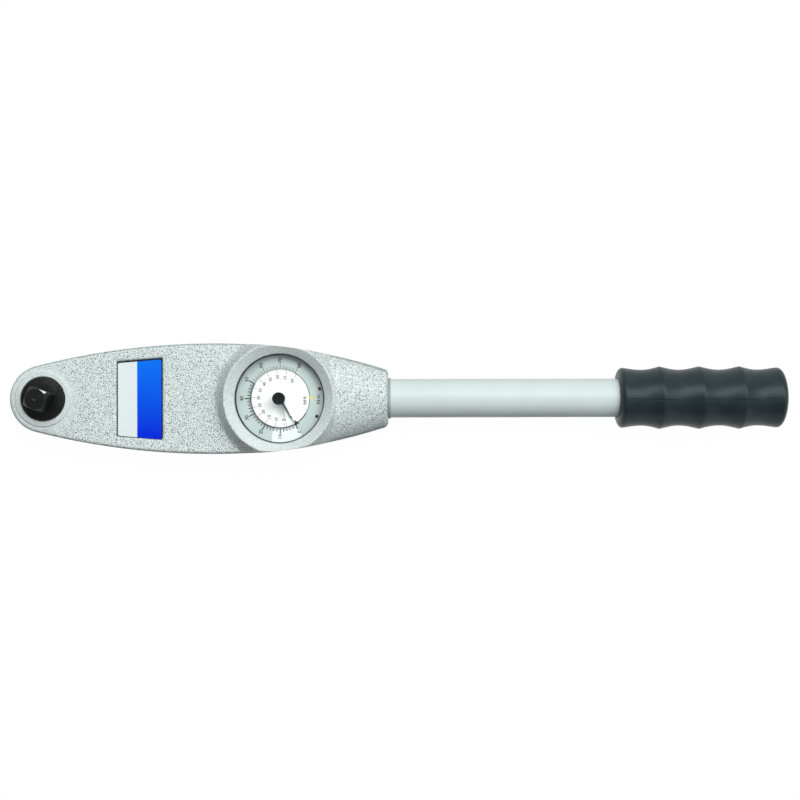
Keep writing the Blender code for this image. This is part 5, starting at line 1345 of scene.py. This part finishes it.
fit(collar, "housing", BLACK_PLASTIC, ["knob_bush"])

# %% [markdown]
# ## The plate on the head
# The plate is a bare enamelled strip, pale at the drive's end and blue at the dial's end. The two
# colours meet on a straight line, and the blue deepens towards one edge, so the place along the
# plate picks the colour and the place across it shades the blue. Under it lies a dark bed, which
# shows as a thin line all round: painted shade, widest at the upper edge, where the plate is set off
# towards the lower one.

# %% Make the plate
COLOUR_LINE = DRIVE_X + 58.2
DEEP_BLUE = (0.000, 0.016, 0.80)
BRIGHT_BLUE = (0.000, 0.19, 1.0)
PALE_ENAMEL = (0.84, 0.93, 0.96)
enamel, tree, shader = new_finish("plate_enamel", specular_ior_level=0.12)
where = node(tree, "SeparateXYZ", {0: place_mm(tree)})
across = node(
    tree, "MapRange", {0: where.outputs["Y"], 1: -PLATE_REAR_WIDTH / 2, 2: PLATE_REAR_WIDTH / 2}
)
blues = colour_ramp(tree, across.outputs[0], (0.0, DEEP_BLUE), last=(1.0, BRIGHT_BLUE))
line = node(tree, "MapRange", {0: where.outputs["X"], 1: COLOUR_LINE - 0.08, 2: COLOUR_LINE + 0.08})
both = blend_colours(tree, line.outputs[0], PALE_ENAMEL, blues.outputs[0])
tree.links.new(both.outputs[2], shader.inputs["Base Color"])
drift(tree, shader, 0.30, 0.42, 7.0)
height = node(tree, "Group", {"Size": 0.6, "Detail": 2.0}, node_tree=GRAIN)
bump(tree, shader, height.outputs["Height"], 0.015)
# The plate is set off towards the lower edge, so the dark bed, painted shade, shows widest at the top.
SHADE_LINE_SHOWS = 0.35
PLATE_SHIFT_FOR_SHADE = 0.35
plate_top = plate_high.z - 0.2
layers = [
    (plate_outline(GAP + SHADE_LINE_SHOWS), plate_low.z), (plate_outline(GAP + SHADE_LINE_SHOWS), plate_top - 0.1),
    (plate_outline(GAP + SHADE_LINE_SHOWS + 0.1), plate_top),
]
blank_plate = lofted("blank_plate", layers, (0, -PLATE_SHIFT_FOR_SHADE, 0))
fit(blank_plate, "housing", enamel, ["name_plate"], 60)
# The dark bed under the plate is painted shade, seen as a line all round it.
shade_bed_layers = [
    (plate_outline(0.06), RECESS_FLOOR + 0.05), (plate_outline(0.12), plate_low.z - 0.05)
]
shade_bed = lofted("plate_shade_bed", shade_bed_layers)
fit(shade_bed, "housing", BLACK_PLASTIC)

# %% [markdown]
# ## The handle
# A steel tube, sprayed a satin mint grey, runs from inside the neck to the end of the grip. The
# neck ring seals the joint. Both are turned along the wrench.

# %% Turn the tube and the neck ring
MINT = common_finish(
    "mint_grey_paint", (0.68, 0.79, 0.765), (0.71, 0.82, 0.795), (0.34, 0.42), 0.5, 0.012,
    patch=20.0, specular_ior_level=0.3,
)
TUBE_RADIUS = tube_high.y
TUBE_BORE = TUBE_RADIUS - 2.5
tube_profile = soften(
    [
        (TUBE_BORE, tube_low.x), (TUBE_RADIUS, tube_low.x, 0.3), (TUBE_RADIUS, tube_high.x, 0.3),
        (TUBE_BORE, tube_high.x), (TUBE_BORE, tube_low.x + 0.5),
    ]
)
tube = turned("painted_tube", tube_profile, (0, 0, HANDLE_HEIGHT), FINE_TURN, "x", ring=True)
pin_place = centre_of("tube_pin")
carve(tube, [drill(PIN_HOLE, 0, 2 * HANDLE_HEIGHT, pin_place)])
fit(tube, "housing", MINT, ["handle_tube"])

RUBBER = common_finish(
    "grey_rubber", (0.34, 0.41, 0.39), (0.42, 0.49, 0.47), (0.6, 0.75), 0.25, 0.03,
    specular_ior_level=0.3,
)
ring_low, ring_high = box_mm("neck_ring")
ring_inner = TUBE_RADIUS + 0.1
ring_profile = soften(
    [
        (ring_inner, ring_low.x), (ring_high.y, ring_low.x, 0.15), (ring_high.y, ring_high.x, 0.3),
        (ring_inner, ring_high.x), (ring_inner, ring_low.x + 0.1),
    ]
)
seal = turned("neck_seal", ring_profile, (0, 0, HANDLE_HEIGHT), FINE_TURN, "x", ring=True)
fit(seal, "housing", RUBBER, ["neck_ring"])

# %% [markdown]
# ## The grip
# The grip is moulded plastic with four finger grooves between sharp ridges and a domed end. Its
# section is round, so it is turned too, from a profile that a formula gives: between two ridges
# the line dips as a sine raised to a power, which keeps the ridges sharp and the grooves full.

# %% Turn the grip
GRIP_LENGTH = grip_high.x - grip_low.x
GRIP_RIDGE = grip_high.y
GRIP_RIM = 18.7
GRIP_GROOVE = 17.45
GRIP_FRONT = 0.8
GRIP_FRONT_DOME = 3.1
GRIP_REAR_DOME = 5.2
GRIP_END_SHORT = 2.5
DOME_FULLNESS = 2.4
GROOVE_SHARES = (0.966, 1.026, 1.046, 0.962)
GROOVES = len(GROOVE_SHARES)
SHARPNESS = 1.08
GROOVE_POINTS = 36


def groove_radius(share):
    """The grip's radius at a share of its grooved length, counted in grooves."""
    groove = min(int(share), GROOVES - 1)
    within = share - groove
    ends = [GRIP_RIM if k in (0, GROOVES) else GRIP_RIDGE for k in (groove, groove + 1)]
    ridge = ends[0] + (ends[1] - ends[0]) * within
    return ridge - (ridge - GRIP_GROOVE) * math.sin(math.pi * within) ** SHARPNESS


def groove_place(share):
    """Where a share of the grooved length lies along the grip. The middle grooves are wider."""
    groove = min(int(share), GROOVES - 1)
    before = sum(GROOVE_SHARES[:groove]) + GROOVE_SHARES[groove] * (share - groove)
    return grooved_start + pitch * before


grooved_start = GRIP_FRONT + GRIP_FRONT_DOME
grip_end = GRIP_LENGTH - GRIP_END_SHORT
pitch = (grip_end - grooved_start - GRIP_REAR_DOME) / GROOVES
lip = ring_inner + 1.2
grip_line = []
for k in range(10):
    angle = math.pi / 2 * k / 10
    rise = GRIP_FRONT_DOME * (1 - math.cos(angle))
    grip_line.append((lip + (GRIP_RIM - lip) * math.sin(angle), GRIP_FRONT + rise))
for k in range(GROOVES * GROOVE_POINTS + 1):
    share = k / GROOVE_POINTS
    grip_line.append((groove_radius(share), groove_place(share)))
for k in range(1, 25):
    angle = math.pi / 2 * (1 - k / 24)
    grip_line.append(
        (
            GRIP_RIM * math.sin(angle) ** (2 / DOME_FULLNESS),
            grip_end - GRIP_REAR_DOME * (1 - math.cos(angle) ** (2 / DOME_FULLNESS)),
        )
    )
BORE = TUBE_RADIUS + GAP
grip_profile = [(0, GRIP_LENGTH - 8), (BORE, GRIP_LENGTH - 8), (BORE, GRIP_FRONT), *grip_line]
grip = turned("moulded_grip", grip_profile, (grip_low.x, 0, HANDLE_HEIGHT), 2 * FINE_TURN, "x")

# %% [markdown]
# The two halves of the mould leave a fine line along the grip, which wanders a little and steps at
# each ridge. It is a real groove, cut on top and underneath with a thin closed tube that follows
# the grip's own profile, so it stays dark from any side.

# %% Cut the mould line
SEAM_RADIUS = 0.42
SEAM_ASIDE = 1.1
seam_steps = 160
sides = 8
seams = []
for side in (1, -1):
    points, faces = [], []
    for k in range(seam_steps + 1):
        share = GROOVES * (0.02 + 0.96 * k / seam_steps)
        within = share % 1
        radius = groove_radius(share)
        wander = 0.4 * math.cos(math.pi * within) * (-1) ** int(share) - SEAM_ASIDE
        angle = side * math.pi / 2 - side * wander / radius
        along = grip_low.x + groove_place(share)
        out = Vector((0, math.cos(angle), math.sin(angle)))
        across = Vector((0, -math.sin(angle), math.cos(angle)))
        middle = Vector((along, 0, HANDLE_HEIGHT)) + out * radius
        for i in range(sides):
            turn = math.tau * i / sides
            points.append(middle + (out * math.cos(turn) + across * math.sin(turn)) * SEAM_RADIUS)
    for k in range(seam_steps):
        for i in range(sides):
            j = (i + 1) % sides
            faces.append((k * sides + i, k * sides + j, (k + 1) * sides + j, (k + 1) * sides + i))
    faces.append(tuple(range(sides)))
    faces.append(tuple(range(seam_steps * sides, (seam_steps + 1) * sides)))
    seams.append(put("seam", mesh_from("seam", points, faces)))
carve(grip, seams)
GRIP_PLASTIC = common_finish(
    "grip_plastic", (0.012, 0.021, 0.025), (0.020, 0.032, 0.037), (0.32, 0.40), 0.35, 0.05,
    specular_ior_level=0.3, specular_tint=(0.80, 0.96, 1.0),
)
fit(grip, "housing", GRIP_PLASTIC, ["grip"], 60)

# %% [markdown]
# ## The measuring beam
# Torque turns the beam's eye with the spindle, and the beam bends towards its anchor. A straight
# beam that stayed still would be cut by the key at full load. A copy of it is cut here into short
# lengths and painted, in place of the frame's beam; it is not made to follow the drive or to bend.

# %% Cut a copy of the beam into short lengths
BEND_FROM = -205.0
BEND_TO = -145.0
BEND_STEP = 5.0
beam = bpy.data.objects.new("bending_beam", frame["nodes"]["measuring_beam"].data.copy())
bpy.context.scene.collection.objects.link(beam)
lengths = bmesh.new()
lengths.from_mesh(beam.data)
place = BEND_FROM
while place <= BEND_TO:
    whole = lengths.verts[:] + lengths.edges[:] + lengths.faces[:]
    bmesh.ops.bisect_plane(lengths, geom=whole, plane_co=(place * MM, 0, 0), plane_no=(1, 0, 0))
    place += BEND_STEP
lengths.to_mesh(beam.data)
lengths.free()
beam.data.materials.clear()
beam.data.materials.append(SPRING_STEEL)
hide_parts("measuring_beam")
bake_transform(beam)
print("bending_beam:", len(beam.data.polygons), "faces")

# %% [markdown]
# ## The works inside
# The movement, the anchor and their fasteners keep the frame's own shapes, since the housing hides
# them. Each still gets the finish of its metal, looked up by the slot that the record gives it.

# %% Paint the pieces that stay
inner_finishes = {
    "hammered_silver": SILVER, "black_oxide": SCREW_OXIDE, "mint_grey_paint": MINT,
    "black_plastic": BLACK_PLASTIC, "grip_plastic": GRIP_PLASTIC, "steel": STEEL,
    "spring_steel": SPRING_STEEL, "brass": BRASS, "bronze": BRONZE, "white_dial": dial_paint,
    "clear_lens": CLEAR, "blue_plate": enamel, "grey_rubber": RUBBER,
}
slots = {part["node"]: part["material_slot"] for part in frame["record"]["subparts"]}
kept = [name for name, obj in frame["nodes"].items() if not obj.hide_render]
for name in kept:
    mesh = frame["nodes"][name].data
    mesh.materials.clear()
    mesh.materials.append(inner_finishes[slots[name]])
print("painted", len(kept), "pieces inside")

# %% [markdown]
# ## Floor, light and camera
# The wrench lies on a paper sweep, a wide floor that curves up into a low wall, so that its end
# doesn't show from the side. To the camera and in reflections the paper is white. The rest of it
# is a lit grey, which keeps a trace of the real shadow and throws little light back at the edges.

# %% Lay the paper sweep
FLOOR_DROP = 0.2
SWEEP_REACH = 6000.0
SWEEP_BEND = 1200.0
SWEEP_HEIGHT = 2300.0
PAPER_SHARE = 0.8
PAPER_WHITE = 1.225
sweep_line = [(0, 0)]
for k in range(9):
    angle = math.pi / 2 * k / 8
    sweep_line.append(
        (SWEEP_REACH - SWEEP_BEND * (1 - math.sin(angle)), SWEEP_BEND * (1 - math.cos(angle)))
    )
sweep_line.append((SWEEP_REACH, SWEEP_HEIGHT))
sweep = turned("paper_sweep", sweep_line, (0, 0, -FLOOR_DROP), FINE_TURN)
sweep.data.shade_smooth()
paper, tree, shader = new_finish("white_paper", base_color=(0.14, 0.14, 0.14), roughness=0.9)
seen = node(tree, "LightPath")
either = node(
    tree, "Math", {0: seen.outputs["Is Glossy Ray"], 1: seen.outputs["Is Transmission Ray"]},
    operation="MAXIMUM",
)
either = node(
    tree, "Math", {0: seen.outputs["Is Camera Ray"], 1: either.outputs[0]}, operation="MAXIMUM"
)
share = node(tree, "Math", {0: either.outputs[0], 1: PAPER_SHARE}, operation="MULTIPLY")
white = node(tree, "Emission", {"Color": (1, 1, 1, 1), "Strength": PAPER_WHITE})
mixed = node(tree, "MixShader", {0: share.outputs[0]})
tree.links.new(shader.outputs[0], mixed.inputs[1])
tree.links.new(white.outputs[0], mixed.inputs[2])
tree.links.new(mixed.outputs[0], tree.nodes["Material Output"].inputs[0])
sweep.data.materials.append(paper)

# %% [markdown]
# The photograph was lit by a big soft light from the upper right, with a dark room at the lower
# left: the grip shines in its upper half and is near black in its lower half. The sky does the
# same here, bright on one side and dim on the other, for every ray alike. Below the horizon it is
# bright, for a look from underneath, where the paper doesn't hide it.

# %% Shade the sky from one side to the other
LIGHT_TURN = math.radians(52)
SKY_BRIGHT = 0.74
SKY_DIM = 0.02
BELOW = 0.9
toward_light = Vector((math.cos(LIGHT_TURN), math.sin(LIGHT_TURN), 0))
world = bpy.data.worlds.new("studio")
bpy.context.scene.world = world
world.use_nodes = True
tree = world.node_tree
look = node(tree, "TexCoord")
toward = node(
    tree, "VectorMath", {0: look.outputs["Generated"], 1: toward_light}, operation="DOT_PRODUCT"
)
level = node(
    tree, "MapRange",
    {0: toward.outputs["Value"], 1: -1.0, 2: 1.0, 3: SKY_DIM, 4: SKY_BRIGHT},
)
upright = node(tree, "SeparateXYZ", {0: look.outputs["Generated"]})
under = node(tree, "MapRange", {0: upright.outputs["Z"], 1: -0.02, 2: 0.0, 3: BELOW, 4: 0.0})
strength = node(tree, "Math", {0: level.outputs[0], 1: under.outputs[0]}, operation="MAXIMUM")
sky = tree.nodes["Background"]
sky.inputs["Color"].default_value = (1, 1, 1, 1)
tree.links.new(strength.outputs[0], sky.inputs["Strength"])


# %% [markdown]
# One long soft lamp hangs over the dial's side and gives the shapes their light and shade. The
# camera looks straight down, from the height and with the small roll that the photograph has.

# %% Hang the key lamp
def lamp(name, distance, turn, rise, sizes, power, target=(-0.02, 0, 0.02)):
    """A soft lamp in metres from a target, at a turn and a rise in degrees."""
    light = bpy.data.lights.new(name, "AREA")
    light.shape = "RECTANGLE"
    light.size, light.size_y = sizes
    light.energy = power
    holder = bpy.data.objects.new(name, light)
    bpy.context.scene.collection.objects.link(holder)
    a, b = math.radians(turn), math.radians(rise)
    away = Vector((math.cos(b) * math.cos(a), math.cos(b) * math.sin(a), math.sin(b)))
    holder.location = Vector(target) + away * distance
    holder.rotation_euler = away.to_track_quat("Z", "Y").to_euler()
    return holder


lamp("key_lamp", 1.4, 64, 62, (1.9, 0.6), 17.5)

# %% Set the camera over the wrench
FOCAL_PIXELS = 1266.0
PICTURE_PIXELS = 800.0
SENSOR = 36.0
CAMERA_HEIGHT = 810.0
CAMERA_ASIDE = -1.07
CAMERA_ROLL = -0.0023
camera_data = bpy.data.cameras.new("camera")
camera_data.sensor_width = SENSOR
camera_data.lens = SENSOR * FOCAL_PIXELS / PICTURE_PIXELS
camera_data.clip_start = 0.01
camera = bpy.data.objects.new("camera", camera_data)
bpy.context.scene.collection.objects.link(camera)
camera.location = Vector((0, CAMERA_ASIDE, CAMERA_HEIGHT)) * MM
camera.rotation_euler.z = CAMERA_ROLL
bpy.context.scene.camera = camera
bpy.context.scene.view_settings.view_transform = "Standard"
